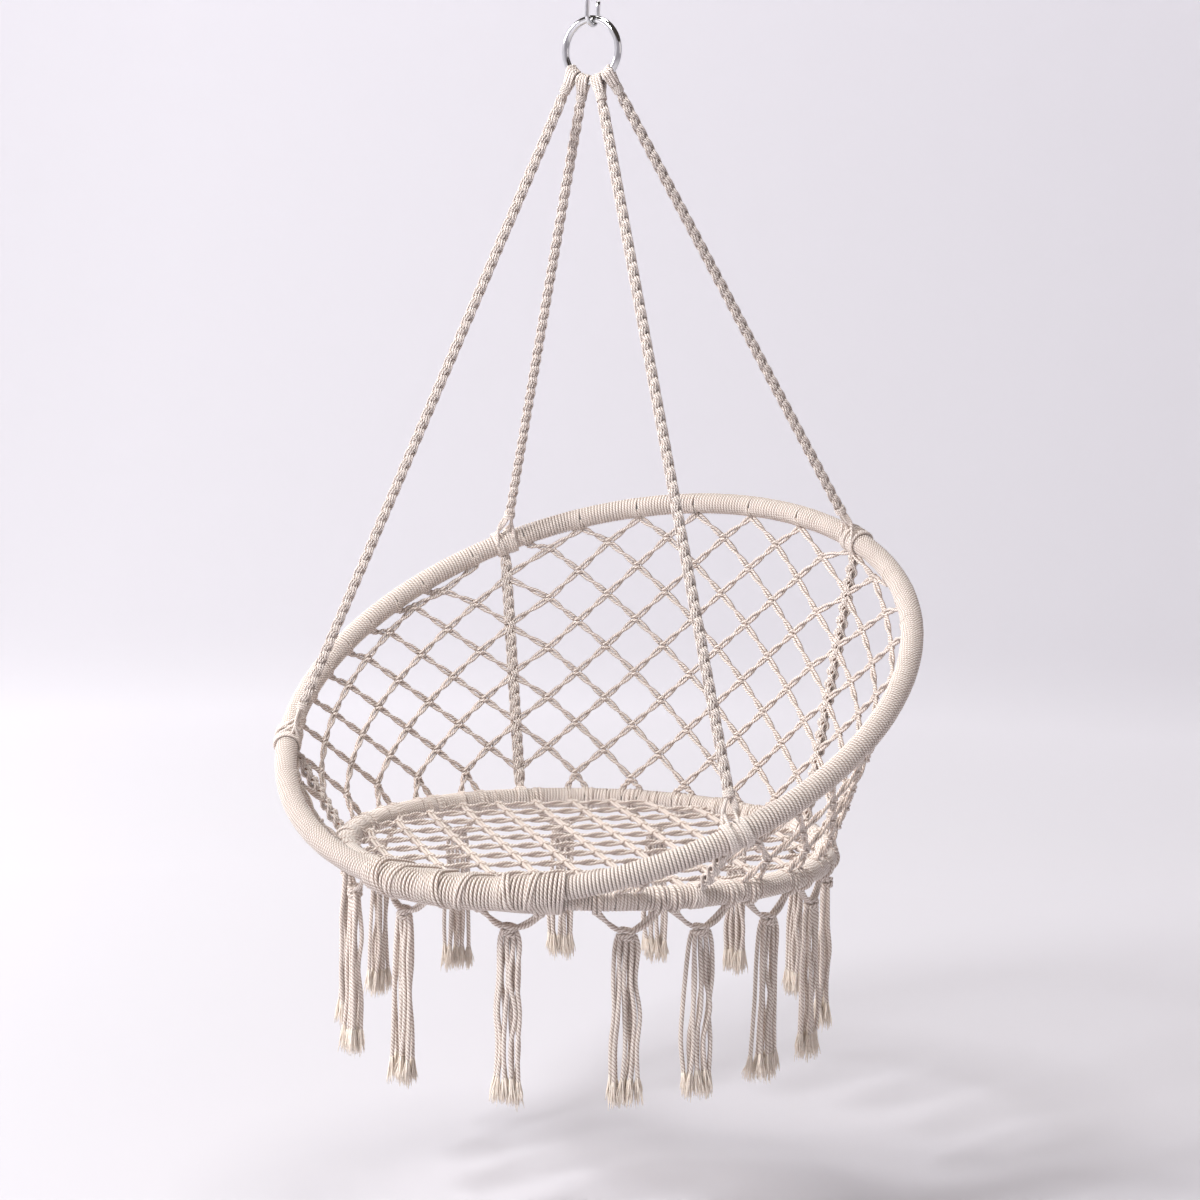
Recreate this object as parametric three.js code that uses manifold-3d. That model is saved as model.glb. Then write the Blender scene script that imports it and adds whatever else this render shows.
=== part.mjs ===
// Hanging hammock chair: a wound seat hoop and a wound back hoop joined by knotted nets,
// hung by four ropes from a steel ring and a wire hook.
// Millimetres, +Z up, the chair's front towards -Y. The origin is the inside top of the hook,
// where it hangs on whatever holds the chair up.

import * as THREE from "three";
import Module from "manifold-3d";

const wasm = await Module();
wasm.setup();

// Seats and fits
const clearance = 0.3;

// Hook
const hookWireDiameter = 5;
const hookBowRadius = 12;
const hookBowSpacing = 48;
const hookTipLength = 16;

// Ring
const ringOuterDiameter = 79.5;
const ringWireDiameter = 8.6;
const ringHeight = 932.7;
const ringAhead = 24.1;

// Hoops: places are measured from the centre of the seat hoop
const seatHoopDiameter = 600;
const backHoopDiameter = 792.6;
const backHoopTilt = 29.8;
const hoopFrontReach = 36.6;
const hoopFrontRise = 6;
const hoopTubeDiameter = 19;
const hoopTubeWall = 1.2;
const hoopWindingThickness = 3.7;
const ventHoleDiameter = 3;

// Ropes
const ropeDiameter = 11.5;
const hitchCordDiameter = 5;
const hitchHalfSpread = 9;
const hitchSplitHeight = 46;
const columnDiameter = 12;
const ringCordDiameter = 3.6;
const ringCordPitch = 3.9;
const whippingDiameter = 13;
const whippingLength = 11;
const whippingDrop = 15.5;
const whippingTurnDepth = 0.6;

// Side net
const netTieStrideLength = 0.25;
const netShortestTie = 2;
const netLongestTie = 90;
const netKnotHalfWidth = 5.5;
const netKnotHalfHeight = 6.5;
const netKnotThickness = 5;
const netFirstRowRear = 24;
const netFirstRowSide = 38;
const netRowPitchRear = 35.5;
const netRowPitchSide = 29.5;
const netKnotSettle = 8;
const netLacingHalfWidth = 5.6;
const netLacingSeat = 1.2;

// Seat net
const seatNetKnotPitch = 72;
const seatNetRowPitch = 34;
const seatNetLongestTie = 144;

// Lashing that joins the two hoops at the front
const lashingThickness = 4;
const lashingMargin = 1.3;

// Tassels
const tasselHalfSpread = 34;
const tasselKnotDrop = 19;
const tasselKnotRadius = 9.5;
const tasselKnotHeight = 13;
const tasselLegWidth = 9.4;
const tasselLegThickness = 4.6;
const tasselStrandDiameter = 4.7;
const tasselStrandPitch = 5;
const tasselRowSpacing = 5.4;
const tasselShoulderDrop = 26;
const tasselTipDrop = 222;
const tasselTipDropSwing = 14;

// Counts and angles, in degrees round the hoops: 0 at the front, 90 at +X, 180 at the rear
const fullTurn = 360;
const netPitches = 25;
const netRows = 11;
const netZeroAngle = 186;
const rearDrawInShare = 0.09;
const rearWeightPower = 4;
const netPlacePasses = 8;
const firstRowTopShare = 0.5;
const settleShareStep = 0.01;
const settleFloorShare = 0.3;
const columnTieShare = 0.65;
const tieSplayAngle = 2.4;
const lacings = {
  left: { knot: 9, edge: 9.75, side: 0, indices: [9.42, 9.92, 10.42, 10.88] },
  right: { knot: 15, edge: 14, side: 1, indices: [14.58, 14.16] },
};
const lashingStart = -14.5;
const lashingEnd = 27;
const tasselAngles = [
  14.75, 40.75, 58, 77.5, 97, 120, 146, 169.25, 193.25, 218, 247, 275.5, 300, 322, 346.25,
];
const ropePlaces = [
  { name: "front_left", ringAngle: -45, backAngle: 297, netIndex: 8 },
  { name: "rear_left", ringAngle: -15.5, backAngle: 227, netIndex: 3 },
  { name: "rear_right", ringAngle: 43, backAngle: 148, netIndex: -3 },
  { name: "front_right", ringAngle: 15.5, backAngle: 53, netIndex: -9 },
];
const seatHoopSegments = 28;
const backHoopSegments = 32;
const windingSides = 10;
const tubeSides = 6;
const ventSides = 6;
const hookSides = 8;
const hookSteps = 30;
const ringSides = 8;
const ringSegments = 28;
const ropeSides = 8;
const ropeSteps = 2;
const cordSides = 4;
const forkSides = 6;
const ringCords = 4;
const ringCordSteps = 4;
const lashingArcSteps = 6;
const tasselStrands = 6;
const tasselTopShare = 0.56;
const tasselKnotSides = 8;
const tasselKnotProfile = [[0, -1], [0.9, -1], [1, -0.5], [0.7, 0], [0, 0]];
const whippingTurns = 5;
const whippingSides = 6;

// Finishes
const cotton = { color: 0xe6dccb, roughness: 0.95, metalness: 0 };
const cottonShade = { color: 0xdccfb9, roughness: 0.95, metalness: 0 };
const chrome = { color: 0xd8dadd, roughness: 0.12, metalness: 1 };
const steel = { color: 0x8d9094, roughness: 0.4, metalness: 1 };

const X = new THREE.Vector3(1, 0, 0);
const Y = new THREE.Vector3(0, 1, 0);
const Z = new THREE.Vector3(0, 0, 1);
const windingRadius = hoopTubeDiameter / 2 + clearance + hoopWindingThickness;
const seatHoopRadius = seatHoopDiameter / 2 - windingRadius;
const backHoopRadius = backHoopDiameter / 2 - windingRadius;
const ringRadius = (ringOuterDiameter - ringWireDiameter) / 2;

const radians = (degrees) => THREE.MathUtils.degToRad(degrees);
const along = (point, ...terms) => {
  const sum = point.clone();
  for (const [vector, amount] of terms) sum.addScaledVector(vector, amount);
  return sum;
};
const unit = (from, to) => to.clone().sub(from).normalize();

// Closed solids from lists of points

function geometryOf(points, triangles) {
  const geometry = new THREE.BufferGeometry();
  geometry.setAttribute("position", new THREE.Float32BufferAttribute(points.flatMap((p) => p.toArray()), 3));
  geometry.setIndex(triangles);
  return geometry;
}

function quad(triangles, a, b, c, d) {
  triangles.push(a, b, c, a, c, d);
}

// A wall between stations of points, whose points run anticlockwise seen from the last station
function wall(triangles, stations, size, first, closed, inwards) {
  const count = closed ? stations : stations - 1;
  for (let s = 0; s < count; s += 1) {
    for (let k = 0; k < size; k += 1) {
      const here = first + s * size;
      const next = first + ((s + 1) % stations) * size;
      const turn = (k + 1) % size;
      if (inwards) quad(triangles, here + turn, here + k, next + k, next + turn);
      else quad(triangles, here + k, here + turn, next + turn, next + k);
    }
  }
}

// Sweeps a flat section through frames of { point, right, up }, right x up along the sweep
function sweep(outline, hole, frames, closed = false) {
  const place = (frame, p) => along(frame.point, [frame.right, p.x], [frame.up, p.y]);
  const points = frames.flatMap((frame) => outline.map((p) => place(frame, p)));
  const holeStart = points.length;
  points.push(...frames.flatMap((frame) => hole.map((p) => place(frame, p))));
  const triangles = [];
  wall(triangles, frames.length, outline.length, 0, closed, false);
  if (hole.length) wall(triangles, frames.length, hole.length, holeStart, closed, true);
  if (!closed) {
    const faces = THREE.ShapeUtils.triangulateShape(outline, hole.length ? [hole] : []);
    const index = (station, k) => (k < outline.length
      ? station * outline.length + k
      : holeStart + station * hole.length + k - outline.length);
    const last = frames.length - 1;
    for (const [a, b, c] of faces) {
      triangles.push(index(0, c), index(0, b), index(0, a));
      triangles.push(index(last, a), index(last, b), index(last, c));
    }
  }
  return geometryOf(points, triangles);
}

function polygon(radius, sides, start = 0) {
  return Array.from({ length: sides }, (_, k) => {
    const angle = start + (k / sides) * 2 * Math.PI;
    return new THREE.Vector2(radius * Math.cos(angle), radius * Math.sin(angle));
  });
}

// A solid through rings of points that all have one count
function loft(rings) {
  const size = rings[0].length;
  const triangles = [];
  wall(triangles, rings.length, size, 0, false, false);
  const last = (rings.length - 1) * size;
  for (let k = 1; k < size - 1; k += 1) {
    triangles.push(0, k + 1, k);
    triangles.push(last, last + k, last + k + 1);
  }
  return geometryOf(rings.flat(), triangles);
}

function tube(curve, radius, sides, steps) {
  const section = new THREE.Shape(polygon(radius, sides));
  return new THREE.ExtrudeGeometry(section, { steps, bevelEnabled: false, extrudePath: curve });
}

function rod(from, to, radius, sides, steps = 1) {
  return tube(new THREE.LineCurve3(from, to), radius, sides, steps);
}

// A cord through points, with one ring of corners at each, turned square to an axis at its start
function cord(points, radius, axis) {
  const frames = [];
  points.forEach((point, k) => {
    const before = points[Math.max(k - 1, 0)];
    const after = points[Math.min(k + 1, points.length - 1)];
    const tangent = unit(before, after);
    const reference = k ? frames[k - 1].right : new THREE.Vector3().crossVectors(tangent, axis);
    const right = along(reference, [tangent, -reference.dot(tangent)]).normalize();
    frames.push({ point, right, up: new THREE.Vector3().crossVectors(tangent, right) });
  });
  return sweep(polygon(radius, cordSides), [], frames);
}

// Joins and cuts

function toManifold(geometry) {
  const position = geometry.getAttribute("position");
  const index = geometry.getIndex();
  const seen = new Map();
  const vertices = [];
  const corner = (k) => {
    const p = new THREE.Vector3().fromBufferAttribute(position, k).toArray().map(Math.fround);
    const key = p.join();
    if (!seen.has(key)) seen.set(key, vertices.push(p) - 1);
    return seen.get(key);
  };
  const corners = Array.from({ length: index ? index.count : position.count }, (_, k) => (
    corner(index ? index.getX(k) : k)
  ));
  const triangles = [];
  for (let k = 0; k < corners.length; k += 3) {
    const [a, b, c] = corners.slice(k, k + 3);
    if (a !== b && b !== c && c !== a) triangles.push(a, b, c);
  }
  return new wasm.Manifold(new wasm.Mesh({
    numProp: 3,
    vertProperties: Float32Array.from(vertices.flat()),
    triVerts: Uint32Array.from(triangles),
  }));
}

function fromManifold(manifold) {
  const mesh = manifold.getMesh();
  const geometry = new THREE.BufferGeometry();
  geometry.setAttribute("position", new THREE.BufferAttribute(Float32Array.from(mesh.vertProperties), 3));
  geometry.setIndex(Array.from(mesh.triVerts));
  return geometry;
}

function joined(geometries) {
  return fromManifold(geometries.map(toManifold).reduce((sum, piece) => sum.add(piece)));
}

function cut(geometry, ...cutters) {
  const whole = toManifold(geometry);
  return fromManifold(cutters.map(toManifold).reduce((rest, cutter) => rest.subtract(cutter), whole));
}

// A hoop is a ring of straight facets, so that what seats on it can be placed to the facet

class Hoop {
  constructor(radius, centre, tiltDegrees, segments) {
    this.radius = radius;
    this.centre = centre;
    this.segments = segments;
    this.rearwards = new THREE.Vector3(0, Math.cos(radians(tiltDegrees)), Math.sin(radians(tiltDegrees)));
    this.normal = new THREE.Vector3().crossVectors(X, this.rearwards);
  }

  outwards(degrees) {
    const angle = radians(degrees);
    return along(new THREE.Vector3(), [X, Math.sin(angle)], [this.rearwards, -Math.cos(angle)]);
  }

  corner(k) {
    return along(this.centre, [this.outwards((k * fullTurn) / this.segments), this.radius]);
  }

  // The point and directions at an angle, on the facet's straight centreline
  frame(degrees) {
    const step = (degrees / fullTurn) * this.segments;
    const start = Math.floor(step);
    const from = this.corner(start);
    const to = this.corner(start + 1);
    const point = from.clone().lerp(to, step - start);
    const tangent = unit(from, to);
    const right = new THREE.Vector3().crossVectors(tangent, this.normal).normalize();
    return { point, tangent, right, up: this.normal };
  }

  // The mitred frame at a corner between facets
  station(k) {
    return { point: this.corner(k), right: this.outwards((k * fullTurn) / this.segments), up: this.normal };
  }

  angleOf(point) {
    const from = point.clone().sub(this.centre);
    return THREE.MathUtils.radToDeg(Math.atan2(from.dot(X), -from.dot(this.rearwards)));
  }

  // Distance from the faceted centreline
  distance(point) {
    const step = Math.floor((this.angleOf(point) / fullTurn) * this.segments);
    let least = Infinity;
    for (const k of [step - 1, step, step + 1]) {
      const facet = new THREE.Line3(this.corner(k), this.corner(k + 1));
      const nearest = facet.closestPointToPoint(point, true, new THREE.Vector3());
      least = Math.min(least, nearest.distanceTo(point));
    }
    return least;
  }
}

const seatHoop = new Hoop(seatHoopRadius, new THREE.Vector3(), 0, seatHoopSegments);
const backTilt = radians(backHoopTilt);
const backHoop = new Hoop(
  backHoopRadius,
  new THREE.Vector3(
    0,
    -seatHoopRadius - hoopFrontReach + backHoopRadius * Math.cos(backTilt),
    hoopFrontRise + backHoopRadius * Math.sin(backTilt),
  ),
  backHoopTilt,
  backHoopSegments,
);
const ringCentre = new THREE.Vector3(0, -ringAhead, ringHeight);

// Ring points: 0 degrees at the bottom, positive towards +X
const ringOutwards = (degrees) => new THREE.Vector3(Math.sin(radians(degrees)), 0, -Math.cos(radians(degrees)));

// Hook: two bows on one wire, the lower one through the ring

const lowerBowCentre = along(ringCentre, [Z, ringRadius - ringWireDiameter / 2 - clearance
  - hookWireDiameter / 2 + hookBowRadius]);
const upperBowCentre = along(lowerBowCentre, [Z, hookBowSpacing]);
const hangingPoint = along(upperBowCentre, [Z, hookBowRadius - hookWireDiameter / 2]);

class BowCurve extends THREE.Curve {
  constructor(centre, startDegrees, sweepDegrees) {
    super();
    Object.assign(this, { centre, startDegrees, sweepDegrees });
  }

  getPoint(share, target = new THREE.Vector3()) {
    const angle = radians(this.startDegrees + share * this.sweepDegrees);
    return target.copy(this.centre).addScaledVector(Y, hookBowRadius * Math.cos(angle))
      .addScaledVector(Z, hookBowRadius * Math.sin(angle));
  }
}

function hangingHook() {
  const lowerTip = along(lowerBowCentre, [Y, hookBowRadius], [Z, hookTipLength]);
  const lowerEnd = along(lowerBowCentre, [Y, hookBowRadius]);
  const shankFoot = along(lowerBowCentre, [Y, -hookBowRadius]);
  const shankBend = along(shankFoot, [Z, hookTipLength]);
  const shankHead = along(upperBowCentre, [Y, hookBowRadius]);
  const upperEnd = along(upperBowCentre, [Y, -hookBowRadius]);
  const upperTip = along(upperEnd, [Z, -hookTipLength / 2]);
  const path = new THREE.CurvePath();
  path.add(new THREE.LineCurve3(lowerTip, lowerEnd));
  path.add(new BowCurve(lowerBowCentre, 0, -fullTurn / 2));
  path.add(new THREE.LineCurve3(shankFoot, shankBend));
  path.add(new THREE.CubicBezierCurve3(
    shankBend,
    along(shankBend, [Z, hookTipLength]),
    along(shankHead, [Z, -hookTipLength]),
    shankHead,
  ));
  path.add(new BowCurve(upperBowCentre, 0, fullTurn / 2));
  path.add(new THREE.LineCurve3(upperEnd, upperTip));
  return tube(path, hookWireDiameter / 2, hookSides, hookSteps);
}

function suspensionRing() {
  const torus = new THREE.TorusGeometry(ringRadius, ringWireDiameter / 2, ringSides, ringSegments);
  return torus.rotateX(Math.PI / 2).translate(...ringCentre.toArray());
}

// Hoops: a steel tube with a vent hole, and a cord winding in quarters over it

function hoopTube(hoop) {
  const frames = Array.from({ length: hoop.segments }, (_, k) => hoop.station(k));
  const flip = frames.map(({ point, right, up }) => ({ point, right, up: up.clone().negate() }));
  const outer = sweep(polygon(hoopTubeDiameter / 2, tubeSides), [], flip, true);
  const bore = sweep(polygon(hoopTubeDiameter / 2 - hoopTubeWall, tubeSides), [], flip, true);
  const inside = hoop.frame(fullTurn / hoop.segments / 2);
  const vent = rod(
    inside.point,
    along(inside.point, [inside.right, -hoopTubeDiameter]),
    ventHoleDiameter / 2,
    ventSides,
  );
  return cut(outer, bore, vent);
}

function hoopWinding(hoop, quarter) {
  const perQuarter = hoop.segments / 4;
  const first = Math.round((quarter - 0.5) * perQuarter);
  const frames = Array.from({ length: perQuarter + 1 }, (_, k) => {
    const { point, right, up } = hoop.station(first + k);
    return { point, right, up: up.clone().negate() };
  });
  for (const [end, inner] of [[0, 1], [perQuarter, perQuarter - 1]]) {
    frames[end].point.addScaledVector(unit(frames[end].point, frames[inner].point), clearance / 2);
  }
  const outline = polygon(windingRadius, windingSides, Math.PI / 2);
  const hole = polygon(hoopTubeDiameter / 2 + clearance, tubeSides);
  return sweep(outline, hole, frames);
}

// Ropes, with their hitches on the ring and on the back hoop

function netAngleAt(index) {
  return netZeroAngle + (index * fullTurn) / netPitches;
}

class Rope {
  constructor({ name, ringAngle, backAngle, netIndex }) {
    this.name = name;
    this.ringAngle = ringAngle;
    this.ringPoint = along(ringCentre, [ringOutwards(ringAngle), ringRadius]);
    this.hoopFrame = backHoop.frame(backAngle);
    this.backAngle = backAngle;
    this.netIndex = netIndex;
    this.seatAngle = netAngleAt(netIndex);
    this.downwards = unit(this.ringPoint, this.hoopFrame.point);
    const foot = seatHoop.frame(this.seatAngle);
    const axis = unit(this.hoopFrame.point, foot.point);
    const reach = (frame, cover) => {
      const slant = Math.abs(axis.dot(frame.tangent));
      return (windingRadius + cover + clearance + (columnDiameter / 2) * slant) / Math.sqrt(1 - slant ** 2);
    };
    this.columnTop = along(this.hoopFrame.point, [axis, reach(this.hoopFrame, hitchCordDiameter + clearance)]);
    this.columnFoot = along(foot.point, [axis, -reach(foot, 0)]);
  }

  rope() {
    const from = along(this.ringPoint, [this.downwards, whippingDrop + whippingLength + clearance]);
    const to = along(this.hoopFrame.point, [this.downwards, -(hitchSplitHeight + clearance)]);
    return rod(from, to, ropeDiameter / 2, ropeSides, ropeSteps);
  }

  whipping() {
    const valley = whippingDiameter / 2 - whippingTurnDepth;
    const turn = whippingLength / whippingTurns;
    const profile = [new THREE.Vector2(0, 0), new THREE.Vector2(valley, 0)];
    for (let k = 0; k < whippingTurns; k += 1) {
      profile.push(new THREE.Vector2(whippingDiameter / 2, (k + 0.5) * turn));
      profile.push(new THREE.Vector2(valley, (k + 1) * turn));
    }
    profile.push(new THREE.Vector2(0, whippingLength));
    const geometry = new THREE.LatheGeometry(profile, whippingSides);
    const turnTo = new THREE.Quaternion().setFromUnitVectors(Y, this.downwards);
    const start = along(this.ringPoint, [this.downwards, whippingDrop]);
    return geometry.applyQuaternion(turnTo).translate(...start.toArray());
  }

  // Cords side by side over the ring's wire, both ends down into the whipping
  ringHitch() {
    const halfStep = Math.PI / ringCordSteps / 2;
    const reach = (ringWireDiameter / 2 + clearance) / Math.cos(halfStep) + ringCordDiameter / 2;
    const gather = (whippingDiameter - ringCordDiameter) / 2;
    const end = along(this.ringPoint, [this.downwards, whippingDrop - clearance]);
    const inCollar = along(end, [this.downwards, -ringCordDiameter / 2]);
    const loops = Array.from({ length: ringCords }, (_, k) => {
      const offset = (k - (ringCords - 1) / 2) * ringCordPitch;
      const out = ringOutwards(this.ringAngle + THREE.MathUtils.radToDeg(offset / ringRadius));
      const centre = along(ringCentre, [out, ringRadius]);
      const side = new THREE.Vector3().crossVectors(out, Y);
      const down = along(this.downwards, [side, -this.downwards.dot(side)]).normalize();
      const across = new THREE.Vector3().crossVectors(side, down);
      const arc = Array.from({ length: ringCordSteps + 1 }, (unused, step) => along(
        centre,
        [across, -reach * Math.cos(2 * step * halfStep)],
        [down, -reach * Math.sin(2 * step * halfStep)],
      ));
      const spread = ((k + 0.5) / ringCords) * Math.PI;
      const gathered = (sign) => along(
        inCollar,
        [across, sign * gather * Math.sin(spread)],
        [side, -gather * Math.cos(spread)],
      );
      return cord([gathered(-1), ...arc, gathered(1)], ringCordDiameter / 2, X);
    });
    return joined([...loops, this.collar(end)]);
  }

  collar(end) {
    return rod(along(end, [this.downwards, -ringCordDiameter]), end, whippingDiameter / 2, ropeSides);
  }

  // Two turns round the hoop, a fork above them
  hoopHitch() {
    const { point, tangent } = this.hoopFrame;
    const split = along(point, [this.downwards, -hitchSplitHeight]);
    const reach = windingRadius + clearance + hitchCordDiameter / 2;
    const pieces = [];
    for (const sign of [-1, 1]) {
      const spread = THREE.MathUtils.radToDeg((sign * hitchHalfSpread) / backHoopRadius);
      const turn = backHoop.frame(this.backAngle + spread);
      const frames = polygon(1, windingSides, Math.PI / 2).map(({ x, y }) => {
        const right = along(new THREE.Vector3(), [turn.right, x], [turn.up, -y]);
        return { point: along(turn.point, [right, reach]), right, up: turn.tangent };
      });
      pieces.push(this.facing(sweep(polygon(hitchCordDiameter / 2, cordSides), [], frames, true)));
      const upwards = this.downwards.clone().negate();
      const towards = along(upwards, [tangent, -upwards.dot(tangent)]).normalize();
      const landing = along(turn.point, [towards, reach]);
      const crown = along(split, [this.downwards, hitchCordDiameter / 2]);
      pieces.push(rod(crown, landing, hitchCordDiameter / 2, forkSides));
    }
    pieces.push(rod(split, along(split, [this.downwards, hitchCordDiameter]), ropeDiameter / 2, ropeSides));
    return joined(pieces);
  }

  facing(geometry) {
    const manifold = toManifold(geometry);
    if (manifold.volume() > 0) return geometry;
    const index = geometry.getIndex();
    for (let k = 0; k < index.count; k += 3) {
      const first = index.getX(k);
      index.setX(k, index.getX(k + 1));
      index.setX(k + 1, first);
    }
    return geometry;
  }

  column() {
    return rod(this.columnTop, this.columnFoot, columnDiameter / 2, ropeSides, ropeSteps);
  }

  // How far a point is from the column's side
  columnGap(point) {
    const nearest = new THREE.Line3(this.columnTop, this.columnFoot)
      .closestPointToPoint(point, true, new THREE.Vector3());
    return nearest.distanceTo(point) - columnDiameter / 2;
  }

  // How far a point is from the hitch's turns
  hitchGap(point) {
    const from = point.clone().sub(this.hoopFrame.point);
    const aside = Math.abs(from.dot(this.hoopFrame.tangent)) - hitchHalfSpread - hitchCordDiameter / 2;
    const round = backHoop.distance(point) - windingRadius - clearance - hitchCordDiameter;
    return Math.max(aside, round);
  }
}

const ropes = ropePlaces.map((place) => new Rope(place));

// Lashing: a sleeve round both hoops, with stations where their facets turn

function lashingStations() {
  const seatStep = fullTurn / seatHoopSegments;
  const stations = [lashingStart / seatStep];
  for (let k = Math.ceil(stations[0]); k <= Math.floor(lashingEnd / seatStep); k += 1) stations.push(k);
  return [...stations, lashingEnd / seatStep];
}

function lashingFrame(step) {
  const seat = seatHoop.frame((step * fullTurn) / seatHoopSegments);
  const back = backHoop.frame((step * fullTurn) / backHoopSegments);
  const tangent = seat.tangent.clone().add(back.tangent).normalize();
  const across = unit(back.point, seat.point);
  const up = new THREE.Vector3().crossVectors(tangent, across).normalize();
  return { seat: seat.point, back: back.point, across, up };
}

function lashingRing({ seat, back, across, up }, radius) {
  const half = Array.from({ length: lashingArcSteps + 1 }, (_, k) => (k / lashingArcSteps - 0.5) * Math.PI);
  const round = (centre, sign) => half.map((angle) => along(
    centre,
    [across, sign * radius * Math.cos(angle)],
    [up, sign * radius * Math.sin(angle)],
  ));
  return [...round(seat, 1), ...round(back, -1)];
}

function frontLashing() {
  const frames = lashingStations().map(lashingFrame);
  const inner = windingRadius + lashingMargin;
  const outerRings = frames.map((frame) => lashingRing(frame, inner + lashingThickness));
  const innerRings = frames.map((frame) => lashingRing(frame, inner));
  const size = outerRings[0].length;
  const points = [...outerRings.flat(), ...innerRings.flat()];
  const triangles = [];
  const holeStart = outerRings.length * size;
  wall(triangles, frames.length, size, 0, false, false);
  wall(triangles, frames.length, size, holeStart, false, true);
  const last = (frames.length - 1) * size;
  for (let k = 0; k < size; k += 1) {
    const turn = (k + 1) % size;
    quad(triangles, turn, k, holeStart + k, holeStart + turn);
    quad(triangles, last + k, last + turn, holeStart + last + turn, holeStart + last + k);
  }
  return geometryOf(points, triangles);
}

// How far a point is from the lashing, seen from outside it
function lashingGap(point) {
  const angle = seatHoop.angleOf(point);
  const aside = Math.max(lashingStart - angle, angle - lashingEnd);
  const thickness = windingRadius + lashingMargin + lashingThickness;
  const round = Math.min(seatHoop.distance(point), backHoop.distance(point)) - thickness;
  return aside > 0 ? Math.max(round, radians(aside) * seatHoopRadius) : round;
}

const hoopGap = (hoop) => (point) => hoop.distance(point) - windingRadius;

// Nets: each knot is a block whose four sides carry the legs to its neighbours

class Net {
  constructor(obstacles) {
    this.obstacles = obstacles;
    this.points = [];
    this.triangles = [];
  }

  gap(point) {
    return Math.min(...this.obstacles.map((obstacle) => obstacle(point)));
  }

  // Corners run right, up, left, down, each with a face point and a back point
  addKnot({ point, right, up }) {
    const outwards = new THREE.Vector3().crossVectors(right, up).normalize();
    const first = this.points.length;
    const corners = [
      [right, netKnotHalfWidth], [up, netKnotHalfHeight], [right, -netKnotHalfWidth], [up, -netKnotHalfHeight],
    ];
    for (const corner of corners) {
      for (const sign of [1, -1]) {
        this.points.push(along(point, corner, [outwards, (sign * netKnotThickness) / 2]));
      }
    }
    quad(this.triangles, first, first + 2, first + 4, first + 6);
    quad(this.triangles, first + 7, first + 5, first + 3, first + 1);
    return { first, used: new Set(), point };
  }

  // The four corners of one side: side 0 looks right and up, 1 left and up, 2 left and down, 3 right and down
  side(knot, side) {
    const a = knot.first + 2 * side;
    const b = knot.first + 2 * ((side + 1) % 4);
    return { aFace: a, aBack: a + 1, bFace: b, bBack: b + 1 };
  }

  addWalls(near, far) {
    quad(this.triangles, near.aFace, far.bFace, far.aFace, near.bFace);
    quad(this.triangles, near.bBack, far.aBack, far.bBack, near.aBack);
    quad(this.triangles, near.aBack, far.bBack, far.bFace, near.aFace);
    quad(this.triangles, near.bFace, far.aFace, far.aBack, near.bBack);
  }

  addLeg(knot, side, other) {
    const opposite = (side + 2) % 4;
    knot.used.add(side);
    other.used.add(opposite);
    this.addWalls(this.side(knot, side), this.side(other, opposite));
  }

  // A leg that runs towards a point until it reaches what it is tied to
  addTiedLeg(knot, side, target, limit) {
    const near = this.side(knot, side);
    const starts = [near.aFace, near.aBack, near.bFace, near.bBack].map((k) => this.points[k]);
    const direction = unit(knot.point, target);
    let reach = 0;
    const clearAt = (length) => starts.every((start) => (
      this.gap(along(start, [direction, length])) > clearance
    ));
    while (reach < limit && clearAt(reach + netTieStrideLength)) reach += netTieStrideLength;
    if (reach < netShortestTie || reach >= limit) return false;
    const first = this.points.length;
    this.points.push(...starts.map((start) => along(start, [direction, reach])));
    const far = { bFace: first, bBack: first + 1, aFace: first + 2, aBack: first + 3 };
    this.addWalls(near, far);
    quad(this.triangles, far.bBack, far.aBack, far.aFace, far.bFace);
    knot.used.add(side);
    return true;
  }

  // A band that zigzags from a knot's upper side through stations beside the hoops
  addLacing(knot, side, stations) {
    const firstSign = side === 0 ? -1 : 1;
    let near = this.side(knot, side);
    for (const { point, up, outwards } of stations) {
      const first = this.points.length;
      for (const sign of [firstSign, -firstSign]) {
        for (const face of [1, -1]) {
          const proud = (face * netKnotThickness) / 2;
          this.points.push(along(point, [up, sign * netLacingHalfWidth], [outwards, proud]));
        }
      }
      this.addWalls(near, { bFace: first, bBack: first + 1, aFace: first + 2, aBack: first + 3 });
      near = { aFace: first, aBack: first + 1, bFace: first + 2, bBack: first + 3 };
    }
    quad(this.triangles, near.aBack, near.bBack, near.bFace, near.aFace);
    knot.used.add(side);
  }

  capSides(knot) {
    for (let side = 0; side < 4; side += 1) {
      if (!knot.used.has(side)) {
        const { aFace, aBack, bFace, bBack } = this.side(knot, side);
        quad(this.triangles, aBack, bBack, bFace, aFace);
      }
    }
  }

  geometry() {
    return geometryOf(this.points, this.triangles);
  }
}

// Side net: knots lie on straight lines between the hoops

function columnAngles(share) {
  return ropes.map(({ netIndex, seatAngle, backAngle }) => {
    const near = backAngle + fullTurn * Math.round((seatAngle - backAngle) / fullTurn);
    return { index: netIndex, angle: THREE.MathUtils.lerp(seatAngle, near, share) };
  }).sort((a, b) => a.index - b.index);
}

function sideNetAngle(index, share) {
  const columns = columnAngles(share);
  columns.push({ index: columns[0].index + netPitches, angle: columns[0].angle + fullTurn });
  const upper = Math.max(1, columns.findIndex((column) => column.index >= index));
  const [low, high] = [columns[upper - 1], columns[upper]];
  const rear = low.index + high.index === 0;
  const drawIn = rear ? 1 - rearDrawInShare * share : 1;
  const middle = (low.index + high.index) / 2;
  const middleAngle = (low.angle + high.angle) / 2;
  return middleAngle + ((index - middle) * drawIn * (high.angle - low.angle)) / (high.index - low.index);
}

const rearWeight = (degrees) => Math.max(0, -Math.cos(radians(degrees))) ** rearWeightPower;

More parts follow.
